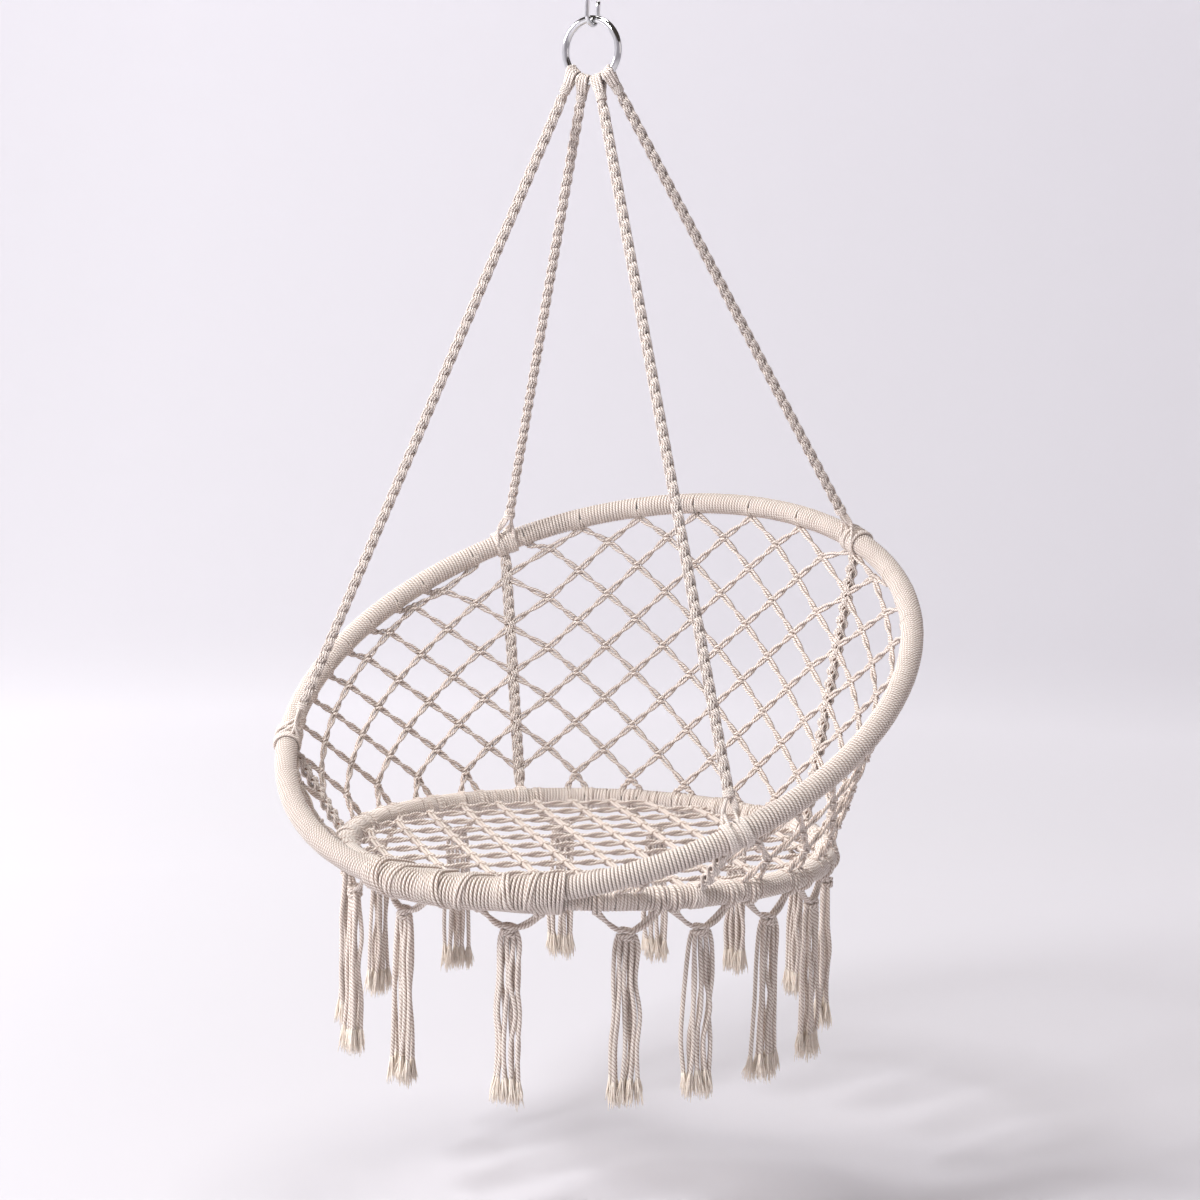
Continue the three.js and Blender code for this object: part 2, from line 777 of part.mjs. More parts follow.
function sideRowHeight(row, degrees) {
  const weight = rearWeight(degrees);
  const first = THREE.MathUtils.lerp(netFirstRowSide, netFirstRowRear, weight);
  return first + row * THREE.MathUtils.lerp(netRowPitchSide, netRowPitchRear, weight);
}

const hoopPoint = (hoop, degrees) => along(hoop.centre, [hoop.outwards(degrees), hoop.radius]);

function sidePlace(index, row) {
  let share = firstRowTopShare;
  let degrees = 0;
  for (let pass = 0; pass < netPlacePasses; pass += 1) {
    degrees = sideNetAngle(index, Math.min(share, 1));
    share = sideRowHeight(row, degrees) / hoopPoint(backHoop, degrees).z;
    if (row === 0) share = Math.min(Math.max(share, 0), firstRowTopShare);
  }
  return sideFrame(degrees, share);
}

function sideFrame(degrees, share) {
  const at = (angle) => hoopPoint(seatHoop, angle).lerp(hoopPoint(backHoop, angle), share);
  const point = at(degrees);
  const up = unit(hoopPoint(seatHoop, degrees), hoopPoint(backHoop, degrees));
  const round = unit(at(degrees - 1), at(degrees + 1));
  const right = along(round, [up, -round.dot(up)]).normalize();
  return { point, right, up, degrees, share };
}

// Moves a knot that lies close under the back hoop down to a clear place, and drops one that lies behind it
function settledPlace(net, place, least) {
  let { share } = place;
  if (place.share > 1 || backHoop.distance(place.point) < netKnotSettle) return null;
  let settled = place;
  while (net.gap(settled.point) < least && share > settleFloorShare * place.share) {
    share -= settleShareStep;
    settled = sideFrame(place.degrees, share);
  }
  return net.gap(settled.point) < least ? null : settled;
}

function sideNet(lowIndex, highIndex, lacing = null) {
  const obstacles = [hoopGap(seatHoop), hoopGap(backHoop), lashingGap];
  for (const rope of ropes) {
    obstacles.push((point) => rope.columnGap(point), (point) => rope.hitchGap(point));
  }
  const net = new Net(obstacles);
  const least = netKnotHalfHeight + 2 * clearance;
  const knots = new Map();
  for (let row = 0; row < netRows; row += 1) {
    for (let index = lowIndex + 0.5 + (row % 2 ? 0 : 0.5); index < highIndex; index += 1) {
      const place = settledPlace(net, sidePlace(index, row), least);
      if (place) knots.set(`${index}/${row}`, Object.assign(net.addKnot(place), { place }));
    }
  }
  for (const [key, knot] of knots) {
    const [index, row] = key.split("/").map(Number);
    if (lacing && row === 0 && index === lacing.knot) {
      net.addLacing(knot, lacing.side, lacing.indices.map(lacingStation));
    }
    tieSideKnot(net, knots, knot, index, row);
    net.capSides(knot);
  }
  return net.geometry();
}

// A turn of the lacing that joins the hoops where they are close, at the back hoop first and then in turn
function lacingStation(index, k) {
  const { point, up, right, degrees } = sideFrame(sideNetAngle(index, 0), 0.5);
  const hoop = k % 2 ? seatHoop : backHoop;
  const slant = up.dot(hoop.frame(degrees).tangent);
  const reach = (windingRadius + netLacingSeat) / Math.sqrt(1 - slant ** 2) + netLacingHalfWidth;
  const place = along(hoopPoint(hoop, degrees), [up, k % 2 ? reach : -reach]);
  return { point: place, up, outwards: new THREE.Vector3().crossVectors(right, up).normalize() };
}

function tieSideKnot(net, knots, knot, index, row) {
  const links = [[0, 0.5, 1], [1, -0.5, 1], [2, -0.5, -1], [3, 0.5, -1]];
  for (const [side, aside, rise] of links) {
    if (knot.used.has(side)) continue;
    const other = knots.get(`${index + aside}/${row + rise}`);
    if (other && rise > 0) net.addLeg(knot, side, other);
    if (!other) {
      const onColumn = ropes.some(({ netIndex }) => (index + aside - netIndex) % netPitches === 0);
      const reach = onColumn ? columnTieShare * rise : rise;
      const target = row + rise < 0
        ? hoopPoint(seatHoop, knot.place.degrees + 2 * aside * tieSplayAngle)
        : sidePlace(index + aside, row + reach).point;
      net.addTiedLeg(knot, side, target, netLongestTie);
    }
  }
}

// Seat net: rows of knots across the seat hoop

function seatNet() {
  const net = new Net([hoopGap(seatHoop), lashingGap]);
  const least = netKnotHalfHeight + 2 * clearance;
  const rows = Math.ceil(seatHoopRadius / seatNetRowPitch);
  const columns = Math.ceil(seatHoopRadius / seatNetKnotPitch);
  const place = (column, row) => ({
    point: new THREE.Vector3(column * seatNetKnotPitch, row * seatNetRowPitch, 0),
    right: X,
    up: Y,
  });
  const knots = new Map();
  for (let row = -rows; row <= rows; row += 1) {
    for (let column = -columns + (row % 2 ? 0.5 : 0); column <= columns; column += 1) {
      const knot = place(column, row);
      const outside = knot.point.length() > seatHoopRadius - netKnotSettle;
      const inwards = knot.point.clone().normalize().negate();
      while (!outside && net.gap(knot.point) < least) knot.point.addScaledVector(inwards, clearance);
      if (!outside) knots.set(`${column}/${row}`, net.addKnot(knot));
    }
  }
  for (const [key, knot] of knots) {
    const [column, row] = key.split("/").map(Number);
    for (const [side, aside, rise] of [[0, 0.5, 1], [1, -0.5, 1], [2, -0.5, -1], [3, 0.5, -1]]) {
      const other = knots.get(`${column + aside}/${row + rise}`);
      if (other && rise > 0) net.addLeg(knot, side, other);
      if (!other) net.addTiedLeg(knot, side, place(column + aside, row + rise).point, seatNetLongestTie);
    }
    net.capSides(knot);
  }
  return net.geometry();
}

// Tassels: two legs from the hoop, a gathering knot and a skirt of strands

function tassel(degrees) {
  const signed = degrees > fullTurn / 2 ? degrees - fullTurn : degrees;
  const { point, tangent, right } = seatHoop.frame(degrees);
  const knotTop = along(point, [Z, -(windingRadius + tasselKnotDrop)]);
  const pieces = [];
  for (const sign of [-1, 1]) {
    const turned = signed + THREE.MathUtils.radToDeg((sign * tasselHalfSpread) / seatHoopRadius);
    const lashed = turned > lashingStart && turned < lashingEnd;
    const cover = lashed ? lashingMargin + lashingThickness : 0;
    const top = seatHoop.frame(turned);
    const seat = along(top.point, [Z, -(windingRadius + cover + clearance)]);
    pieces.push(loft([
      flatRing(seat, top.tangent, top.right, tasselLegWidth, tasselLegThickness),
      flatRing(along(knotTop, [Z, -tasselKnotHeight / 2], [tangent, (sign * tasselLegThickness) / 4]),
        tangent, right, tasselLegWidth, tasselLegThickness),
    ]));
  }
  pieces.push(tasselKnot(knotTop));
  const tipDrop = tasselTipDrop + tasselTipDropSwing * Math.cos(radians(degrees));
  for (let k = 0; k < tasselStrands; k += 1) {
    const aside = (k - (tasselStrands - 1) / 2) * tasselStrandPitch;
    const row = ((k % 2 ? 1 : -1) * tasselRowSpacing) / 2;
    const start = along(knotTop, [Z, -tasselKnotHeight / 2], [tangent, aside * tasselTopShare], [right, row]);
    const shoulder = along(knotTop, [Z, -tasselShoulderDrop], [tangent, aside], [right, row]);
    const tip = along(point, [Z, -tipDrop], [tangent, aside], [right, row]);
    pieces.push(cord([start, shoulder, tip], tasselStrandDiameter / 2, right));
  }
  return joined(pieces);
}

function flatRing(point, lengthwise, crosswise, width, thickness) {
  return [[1, 1], [-1, 1], [-1, -1], [1, -1]].map(([a, b]) => along(
    point,
    [lengthwise, (a * width) / 2],
    [crosswise, (b * thickness) / 2],
  ));
}

function tasselKnot(top) {
  const profile = tasselKnotProfile.map(([radial, height]) => (
    new THREE.Vector2(radial * tasselKnotRadius, height * tasselKnotHeight)
  ));
  return new THREE.LatheGeometry(profile, tasselKnotSides).rotateX(Math.PI / 2).translate(...top.toArray());
}

// The chair, moved so that its hanging point is the origin

const chair = new THREE.Group();
const root = new THREE.Group();
root.add(chair);
chair.position.copy(hangingPoint).negate();

function addPiece(name, geometry, finish) {
  const mesh = new THREE.Mesh(geometry, new THREE.MeshStandardMaterial(finish));
  mesh.name = name;
  chair.add(mesh);
}

addPiece("hanging_hook", hangingHook(), chrome);
addPiece("suspension_ring", suspensionRing(), chrome);
for (const rope of ropes) {
  addPiece(`ring_hitch_${rope.name}`, rope.ringHitch(), cotton);
  addPiece(`whipping_${rope.name}`, rope.whipping(), cottonShade);
  addPiece(`rope_${rope.name}`, rope.rope(), cotton);
  addPiece(`hoop_hitch_${rope.name}`, rope.hoopHitch(), cottonShade);
  addPiece(`column_${rope.name}`, rope.column(), cotton);
}
const quarterNames = ["front", "right", "rear", "left"];
for (const [name, hoop] of [["seat", seatHoop], ["back", backHoop]]) {
  addPiece(`${name}_hoop_tube`, hoopTube(hoop), steel);
  quarterNames.forEach((quarter, k) => {
    addPiece(`${name}_hoop_winding_${quarter}`, hoopWinding(hoop, k), cotton);
  });
}
addPiece("front_lashing", frontLashing(), cotton);
addPiece("seat_net", seatNet(), cotton);
const columnIndex = Object.fromEntries(ropes.map((rope) => [rope.name, rope.netIndex]));
addPiece("side_net_rear", sideNet(columnIndex.rear_right, columnIndex.rear_left), cotton);
addPiece("side_net_left", sideNet(columnIndex.rear_left, columnIndex.front_left), cotton);
addPiece("side_net_right", sideNet(columnIndex.front_right, columnIndex.rear_right), cotton);
addPiece("side_net_front_left", sideNet(columnIndex.front_left, lacings.left.edge, lacings.left), cotton);
addPiece("side_net_front_right", sideNet(
  lacings.right.edge,
  columnIndex.front_right + netPitches,
  lacings.right,
), cotton);
tasselAngles.forEach((degrees, k) => {
  addPiece(`tassel_${String(k + 1).padStart(2, "0")}`, tassel(degrees), cotton);
});

export default root;
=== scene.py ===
"""Looks of a hanging hammock chair: two corded hoops, knotted nets, plaited ropes and tassels."""

import logging
import math
from dataclasses import dataclass, field
from enum import Enum
from typing import Callable, Iterable, Optional

import bmesh
import bpy
import numpy as np
from mathutils import Matrix, Vector


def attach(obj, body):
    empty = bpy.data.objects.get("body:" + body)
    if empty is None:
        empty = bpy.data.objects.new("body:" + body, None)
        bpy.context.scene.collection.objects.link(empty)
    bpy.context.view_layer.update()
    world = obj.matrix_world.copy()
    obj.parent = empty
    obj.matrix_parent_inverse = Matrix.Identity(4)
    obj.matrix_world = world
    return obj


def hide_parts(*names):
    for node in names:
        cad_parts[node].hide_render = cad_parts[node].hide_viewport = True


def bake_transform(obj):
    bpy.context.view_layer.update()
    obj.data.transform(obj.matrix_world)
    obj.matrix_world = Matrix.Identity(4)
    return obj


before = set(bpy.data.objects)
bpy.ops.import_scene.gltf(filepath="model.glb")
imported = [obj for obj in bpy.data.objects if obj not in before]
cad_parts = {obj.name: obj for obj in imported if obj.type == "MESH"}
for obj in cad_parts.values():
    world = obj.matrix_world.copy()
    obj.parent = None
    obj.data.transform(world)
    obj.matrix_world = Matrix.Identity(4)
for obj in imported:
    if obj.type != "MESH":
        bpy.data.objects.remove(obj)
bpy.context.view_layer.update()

LOG = logging.getLogger("hammock_chair")

MM = 0.001
FULL_TURN = 360.0
# Points nearer than this are one point
MERGE_DISTANCE = 0.4e-6
# The compass angle of the photograph's viewpoint, in degrees
VIEW_AZIMUTH = 31.363
# The legs that leave a knot: how many net lines aside and how many rows up
LEG_WAYS = ((0.5, 1), (-0.5, 1), (-0.5, -1), (0.5, -1))
# The hanging point, seen from the centre of the seat hoop
HANGING_POINT = np.array([0.0, -24.1, 1030.55]) * MM
X_AXIS = np.array([1.0, 0.0, 0.0])
Y_AXIS = np.array([0.0, 1.0, 0.0])
Z_AXIS = np.array([0.0, 0.0, 1.0])


class Body(str, Enum):
    """The rigid bodies that the pieces ride on."""

    HOOK = "hook"
    RING = "ring"
    BACK = "back"
    SEAT = "seat"


class Slot(str, Enum):
    """The record's finish names; no piece here is given one."""

    COTTON = "cotton"
    BINDING = "cotton_binding"
    CHROME = "chrome"


def unit(vector: np.ndarray) -> np.ndarray:
    """Vectors of length one, along the last axis."""
    return vector / np.maximum(np.linalg.norm(vector, axis=-1, keepdims=True), 1e-12)


def across(vector: np.ndarray, axis: np.ndarray) -> np.ndarray:
    """The part of each vector that is square to an axis."""
    return vector - np.sum(vector * axis, axis=-1, keepdims=True) * axis


def smooth_path(points: np.ndarray, count: int) -> np.ndarray:
    """A smooth curve through points.

    Args:
        points: The points to pass through, as rows.
        count: How many points the curve gets.

    Returns:
        The curve's points, evenly spread over the stretches.
    """
    padded = np.vstack([2 * points[0] - points[1], points, 2 * points[-1] - points[-2]])
    spots = np.linspace(0, len(points) - 1, count)
    start = np.minimum(spots.astype(int), len(points) - 2)
    t = (spots - start)[:, None]
    a, b, c, d = (padded[start + k] for k in range(4))
    return 0.5 * (2 * b + (c - a) * t + (2 * a - 5 * b + 4 * c - d) * t**2 + (3 * b - a - 3 * c + d) * t**3)


def wander(count: int, step: float, size: float, rng: np.random.Generator) -> np.ndarray:
    """A smooth random line.

    Args:
        count: How many values to give.
        step: How many values lie between two independent ones.
        size: The spread of the values.
        rng: The seeded source of chance.

    Returns:
        The values.
    """
    knots = rng.normal(0, size, int(count / step) + 3)
    return np.interp(np.arange(count) / step, np.arange(len(knots)), knots)


class Expr:
    """A shader socket that takes part in sums, so that shader maths reads as Python."""

    def __init__(self, shade: "Shade", socket: bpy.types.NodeSocket) -> None:
        """Keeps the socket and the material that it belongs to."""
        self.shade = shade
        self.socket = socket

    def math(self, operation: str, *others: object) -> "Expr":
        """Adds a Math node that starts from this value."""
        return self.shade.math(operation, self, *others)

    def __add__(self, other: object) -> "Expr":
        """Sum."""
        return self.math("ADD", other)

    def __sub__(self, other: object) -> "Expr":
        """Difference."""
        return self.math("SUBTRACT", other)

    def __rsub__(self, other: object) -> "Expr":
        """Difference from a number."""
        return self.shade.math("SUBTRACT", other, self)

    def __mul__(self, other: object) -> "Expr":
        """Product."""
        return self.math("MULTIPLY", other)

    def __pow__(self, other: object) -> "Expr":
        """Power."""
        return self.math("POWER", other)


class Shade:
    """A node material that is being built."""

    def __init__(self, name: str) -> None:
        """Starts a material with one shader on its output.

        Args:
            name: The material's name.
        """
        self.material = bpy.data.materials.new(name)
        self.material.use_nodes = True
        self.nodes = self.material.node_tree.nodes
        self.links = self.material.node_tree.links
        self.shader = self.nodes["Principled BSDF"]

    def plug(self, socket: bpy.types.NodeSocket, value: object) -> None:
        """Sets a socket to a number or colour, or links it to an expression.

        Args:
            socket: The socket.
            value: A number, a colour or an expression.
        """
        if isinstance(value, Expr):
            self.links.new(value.socket, socket)
        else:
            socket.default_value = value

    def node(self, kind: str, settings: dict, inputs: dict, output: object = 0) -> Expr:
        """Adds any node.

        Args:
            kind: The node's type.
            settings: Its own settings, which are set first.
            inputs: Values or links for its sockets, by name or number.
            output: The socket that the expression reads.

        Returns:
            The output as an expression.
        """
        node = self.nodes.new(kind)
        for name, value in settings.items():
            setattr(node, name, value)
        for name, value in inputs.items():
            self.plug(node.inputs[name], value)
        return Expr(self, node.outputs[output])

    def math(self, operation: str, *values: object) -> Expr:
        """Adds a Math node on up to three values."""
        return self.node("ShaderNodeMath", {"operation": operation}, dict(enumerate(values)))

    def measure(self, operation: str, *vectors: object) -> Expr:
        """Adds a Vector Math node that gives a number."""
        return self.node("ShaderNodeVectorMath", {"operation": operation}, dict(enumerate(vectors)), "Value")

    def place(self) -> Expr:
        """The place on the object."""
        return self.node("ShaderNodeTexCoord", {}, {}, "Object")

    def noise(self, vector: Expr, scale: float, detail: float = 2.0) -> Expr:
        """Noise from 0 to 1 over a vector."""
        return self.node("ShaderNodeTexNoise", {}, {"Vector": vector, "Scale": scale, "Detail": detail})

    def mix(self, factor: object, first: object, second: object) -> Expr:
        """A colour between two colours."""
        return self.node("ShaderNodeMix", {"data_type": "RGBA"}, {0: factor, 6: first, 7: second}, 2)

    def finish(self, **sockets: object) -> bpy.types.Material:
        """Sets the shader's sockets, whose spaces are written as underscores."""
        for name, value in sockets.items():
            self.plug(self.shader.inputs[name.replace("_", " ")], value)
        return self.material


Colour = tuple[float, float, float]


def rgba(colour: Colour, gain: float = 1.0) -> tuple[float, float, float, float]:
    """A colour for a socket, lightened or darkened by a gain."""
    return (*(min(channel * gain, 1.0) for channel in colour), 1.0)


@dataclass(frozen=True)
class CottonFinish:
    """Twisted cotton cord: plies with painted shade in their grooves and on their sides, fine yarn and a
    little stain.

    The cord's UV map runs once round the cord, and once along it for each turn of its plies.
    """

    name: str
    light: Colour = (0.965, 0.88, 0.81)
    # Painted shade: the dark colour that the cord takes in the grooves between its plies
    groove_shade_colour: Colour = (0.30, 0.15, 0.08)
    plies: int = 3
    groove_shade_width: float = 0.65
    relief: float = 0.9 * MM
    yarns: float = 5.0
    # Painted shade on the cord's sides: how much they darken, and how sharply
    edge: float = 0.55
    edge_shade_power: float = 0.7
    yarn_slant: float = 0.4
    ply_light: float = 0.99
    yarn_light: float = 0.05
    fuzz_light: float = 0.1
    full_light: float = 1.02
    fuzz_scale: float = 1600.0
    tone_scale: float = 26.0
    cloud_scale: float = 7.0
    tone_share: float = 0.6
    cloud_share: float = 0.5
    stain_start: float = 0.36
    stain_strength: float = 0.55
    stained: float = 0.80
    ply_power: float = 0.55
    yarn_height: float = 0.12
    fuzz_height: float = 0.18

    def build(self) -> bpy.types.Material:
        """Makes the material.

        Returns:
            The material, with painted shade in its grooves and on its sides, which are dimmer than its
            middle.
        """
        shade = Shade(self.name)
        uv = shade.node("ShaderNodeUVMap", {"uv_map": "UVMap"}, {})
        around = shade.node("ShaderNodeSeparateXYZ", {}, {0: uv})
        along = Expr(shade, around.socket.node.outputs[1])
        place = shade.place()
        phase = (around + along) * self.plies
        ply = (phase * math.pi).math("SINE").math("ABSOLUTE")
        yarn_phase = (around * self.yarns - along * self.yarns * self.yarn_slant) * self.plies
        yarn = (yarn_phase * math.pi).math("SINE").math("ABSOLUTE")
        fuzz = shade.noise(place, self.fuzz_scale, 3.0)
        tone = shade.noise(place, self.tone_scale, 3.0)
        cloud = shade.noise(place, self.cloud_scale)
        # Painted shade: dimmer on the cord's sides, away from its outward face, and dark in the grooves
        # between plies
        facing_light = (around * (2 * math.pi)).math("COSINE").math("ABSOLUTE") ** self.edge_shade_power
        surface = ply**self.groove_shade_width * self.ply_light + yarn * self.yarn_light + fuzz * self.fuzz_light
        lit = surface * (facing_light * self.edge + (1 - self.edge))
        groove_shade = (self.full_light - lit).math("MAXIMUM", 0.0)
        stain = (tone * self.tone_share + cloud * self.cloud_share - self.stain_start).math("MAXIMUM", 0.0)
        light = shade.mix(stain * self.stain_strength, rgba(self.light), rgba(self.light, self.stained))
        height = (ply**self.ply_power) + yarn * self.yarn_height + fuzz * self.fuzz_height
        bump = shade.node("ShaderNodeBump", {}, {"Strength": 0.9, "Distance": self.relief, "Height": height})
        return shade.finish(
            Base_Color=shade.mix(groove_shade, light, rgba(self.groove_shade_colour)),
            Roughness=0.92,
            Specular_IOR_Level=0.18,
            Sheen_Weight=0.25,
            Sheen_Roughness=0.6,
            Normal=bump,
        )


@dataclass(frozen=True)
class FringeFinish:
    """Loose cotton fibres at a tassel's tips."""

    name: str = "frayed_cotton"
    colour: Colour = (0.97, 0.87, 0.79)
    dark: Colour = (0.86, 0.70, 0.58)
    gain: float = 1.1
    scale: float = 400.0

    def build(self) -> bpy.types.Material:
        """Makes the material.

        Returns:
            The material, mottled between its two colours.
        """
        shade = Shade(self.name)
        tone = shade.noise(shade.place(), self.scale)
        colour = shade.mix(tone, rgba(self.colour, self.gain), rgba(self.dark))
        return shade.finish(Base_Color=colour, Roughness=0.95, Specular_IOR_Level=0.1, Sheen_Weight=0.3)


@dataclass(frozen=True)
class MetalFinish:
    """Plated or drawn steel, with faint marks in its shine."""

    name: str
    colour: Colour
    roughness: float
    wear: float = 0.06
    marks_scale: float = 240.0
    smear_scale: float = 45.0
    smeared: float = 0.86

    def build(self) -> bpy.types.Material:
        """Makes the material.

        Returns:
            The material.
        """
        shade = Shade(self.name)
        place = shade.place()
        marks = shade.noise(place, self.marks_scale, 4.0)
        smear = shade.noise(place, self.smear_scale)
        roughness = marks * self.wear + smear * self.wear + self.roughness
        colour = shade.mix(smear, rgba(self.colour), rgba(self.colour, self.smeared))
        return shade.finish(Base_Color=colour, Metallic=1.0, Roughness=roughness)


@dataclass(frozen=True)
class StudioFinish:
    """Plain pale surface of the studio, which glows with painted light where it stands behind the chair, and
    has painted shade on the floor under it.
    """

    name: str = "studio_paper"
    colour: Colour = (0.84, 0.82, 0.865)
    dim: Colour = (0.04, 0.04, 0.042)
    glow: float = 0.56
    reach: float = 8.0
    near_rise: float = 0.9
    near_start: float = 0.2
    under_fall: float = 2.0
    under_dim: float = 1.1
    aside_dim: float = 0.8
    least_dim: float = 0.165
    # How much painted shade darkens the floor under the chair, and how that changes towards one side
    floor_shade_strength: float = 0.3
    floor_shade_aside: float = 0.2

    def build(self) -> bpy.types.Material:
        """Makes the material.

        Returns:
            The material, whose painted glow is dimmer in front of the chair, under it and towards one side,
            and whose floor colour is darkened under the chair with painted shade.
        """
        shade = Shade(self.name)
        place = shade.place()
        a = math.radians(VIEW_AZIMUTH)
        nearness = shade.measure("DOT_PRODUCT", place, (math.sin(a), -math.cos(a), 0))
        aside = shade.measure("DOT_PRODUCT", place, (math.cos(a), math.sin(a), 0))
        distance = shade.measure("LENGTH", place)
        # Painted light: the sweep's glow fades towards the front, under the chair and towards one side
        near = (nearness * (self.near_rise / self.reach) + self.near_start).math("MAXIMUM", 0.0)
        under = (1.0 - distance * (self.under_fall / self.reach)).math("MAXIMUM", 0.0)
        fade = near + under * self.under_dim + aside * (self.aside_dim / self.reach) + self.least_dim
        glow = shade.mix(fade.math("MAXIMUM", 0.0).math("MINIMUM", 1.0), rgba(self.colour), rgba(self.dim))
        # Painted shade: the floor's colour darkens under the chair, more towards one side
        floor_shade = (under * (self.floor_shade_strength - aside * self.floor_shade_aside)).math("MAXIMUM", 0.0)
        return shade.finish(
            Base_Color=shade.mix(floor_shade, rgba(self.colour), rgba(self.dim)),
            Roughness=0.9,
            Specular_IOR_Level=0.0,
            Emission_Color=glow,
            Emission_Strength=self.glow,
        )


class Bundle:
    """Cords that share one mesh: each is a grid wrapped round its path, seamed and capped."""

    def __init__(self, lay: float, sides: int = 6) -> None:
        """Starts an empty bundle.

        Args:
            lay: The length of cord in which its plies turn once.
            sides: How many faces go round each cord.
        """
        self.lay = lay
        self.sides = sides
        self.grids: list[np.ndarray] = []
        self.maps: list[np.ndarray] = []

    def add(
        self,
        path: np.ndarray,
        radius: object,
        normal: Optional[np.ndarray] = None,
        shift: float = 0.0,
        core: bool = False,
    ) -> None:
        """Adds a cord.

        Args:
            path: The points along its middle. A closed cord ends where it starts.
            radius: Its radius, one number or one for each point.
            normal: The direction that its light side faces, one or one for each point.
            shift: How far its plies start along their turn.
            core: Whether it is a dark filling that only shows in the gaps between other cords, as painted
                shade in the grooves' colour.
        """
        count = len(path)
        closed = np.allclose(path[0], path[-1], atol=1e-9)
        if closed:
            tangent = unit(np.roll(path[:-1], -1, axis=0) - np.roll(path[:-1], 1, axis=0))
            tangent = np.vstack([tangent, tangent[:1]])
        else:
            tangent = unit(np.gradient(path, axis=0))
        if normal is None:
            chord = unit(path[-1] - path[0]) if not closed else tangent[0]
            normal = np.cross(chord, Z_AXIS if abs(chord[2]) < 0.9 else X_AXIS)
        side = unit(across(np.broadcast_to(normal, path.shape), tangent))
        other = np.cross(tangent, side)
        angle = np.linspace(0, 2 * math.pi, self.sides + 1)
        reach = np.broadcast_to(np.asarray(radius, float), (count,))[:, None, None]
        cosine, sine = np.cos(angle)[None, :, None], np.sin(angle)[None, :, None]
        self.grids.append(path[:, None, :] + reach * (cosine * side[:, None, :] + sine * other[:, None, :]))
        length = np.concatenate([[0], np.cumsum(np.linalg.norm(np.diff(path, axis=0), axis=1))]) / self.lay
        if closed:
            length *= max(round(length[-1]), 1) / max(length[-1], 1e-9)
        around = np.broadcast_to(angle / (2 * math.pi), (count, self.sides + 1))
        wound = np.stack([around, np.broadcast_to(length[:, None] + shift, around.shape)], axis=-1)
        # A zeroed map gives a filling the grooves' painted-shade colour all over
        self.maps.append(wound * (0 if core else 1))

    def _plain_mesh(self, name: str) -> bpy.types.Mesh:
        """All the grids, flat, in one mesh with a UV map.

        Args:
            name: The mesh's name.

        Returns:
            The mesh, which still needs its places and its map.
        """
        sheet = bmesh.new()
        sheet.loops.layers.uv.new("UVMap")
        units: dict[int, bpy.types.Mesh] = {}
        for grid in self.grids:
            rows = len(grid)
            if rows not in units:
                cell = bmesh.new()
                cell.loops.layers.uv.new("UVMap")
                bmesh.ops.create_grid(cell, x_segments=self.sides, y_segments=rows - 1, size=1, calc_uvs=True)
                units[rows] = bpy.data.meshes.new("cell")
                cell.to_mesh(units[rows])
                cell.free()
            sheet.from_mesh(units[rows])
        mesh = bpy.data.meshes.new(name)
        sheet.to_mesh(mesh)
        sheet.free()
        for cell_mesh in units.values():
            bpy.data.meshes.remove(cell_mesh)
        return mesh

    def build(self, name: str) -> bpy.types.Object:
        """Makes the object: the grids take their places, are seamed, capped and turned outwards.

        Args:
            name: The object's name.

        Returns:
            The object.
        """
        mesh = self._plain_mesh(name)
        places = np.concatenate([grid.reshape(-1, 3) for grid in self.grids])
        mesh.vertices.foreach_set("co", places.astype(np.float32).ravel())
        owner = np.empty(len(mesh.loops), dtype=np.int32)
        mesh.loops.foreach_get("vertex_index", owner)
        flat = np.concatenate([grid.reshape(-1, 2) for grid in self.maps])
        mesh.uv_layers["UVMap"].data.foreach_set("uv", flat[owner].astype(np.float32).ravel())
        body = bmesh.new()
        body.from_mesh(mesh)
        return finished(body, name, mesh)


def finished(body: bmesh.types.BMesh, name: str, mesh: Optional[bpy.types.Mesh] = None) -> bpy.types.Object:
    """Closes a bmesh and makes it an object in the scene.

    Args:
        body: The modelled shape.
        name: The object's name.
        mesh: The mesh to fill, or none for a new one.

    Returns:
        The object, smooth shaded.
    """
    bmesh.ops.remove_doubles(body, verts=body.verts, dist=MERGE_DISTANCE)
    rims = [edge for edge in body.edges if edge.is_boundary]
    if rims:
        bmesh.ops.holes_fill(body, edges=rims, sides=0)
    bmesh.ops.recalc_face_normals(body, faces=body.faces)
    for face in body.faces:
        face.smooth = True
    mesh = mesh or bpy.data.meshes.new(name)
    body.to_mesh(mesh)
    body.free()
    thing = bpy.data.objects.new(name, mesh)
    bpy.context.scene.collection.objects.link(thing)
    return thing


class Finishes:
    """The chair's materials."""

    def __init__(self) -> None:
        """Builds every material once."""
        self.net = CottonFinish("net_cotton").build()
        self.winding = CottonFinish(
            "winding_cotton", (0.93, 0.86, 0.80), groove_shade_width=0.55, relief=0.6 * MM, edge=0.86
        ).build()
        self.rope = CottonFinish("rope_cotton", (1.0, 0.915, 0.845), groove_shade_width=0.4, edge=0.3).build()
        self.binding = CottonFinish("binding_cotton", (0.92, 0.85, 0.79), groove_shade_width=0.4, edge=0.9).build()
        self.tassel = CottonFinish("tassel_cotton", (0.95, 0.865, 0.795), groove_shade_width=0.7, edge=0.2).build()
        self.fringe = FringeFinish().build()
        self.chrome = MetalFinish("bright_chrome", (0.78, 0.785, 0.79), roughness=0.04).build()
        self.steel = MetalFinish("drawn_steel", (0.42, 0.42, 0.43), roughness=0.38, wear=0.2).build()


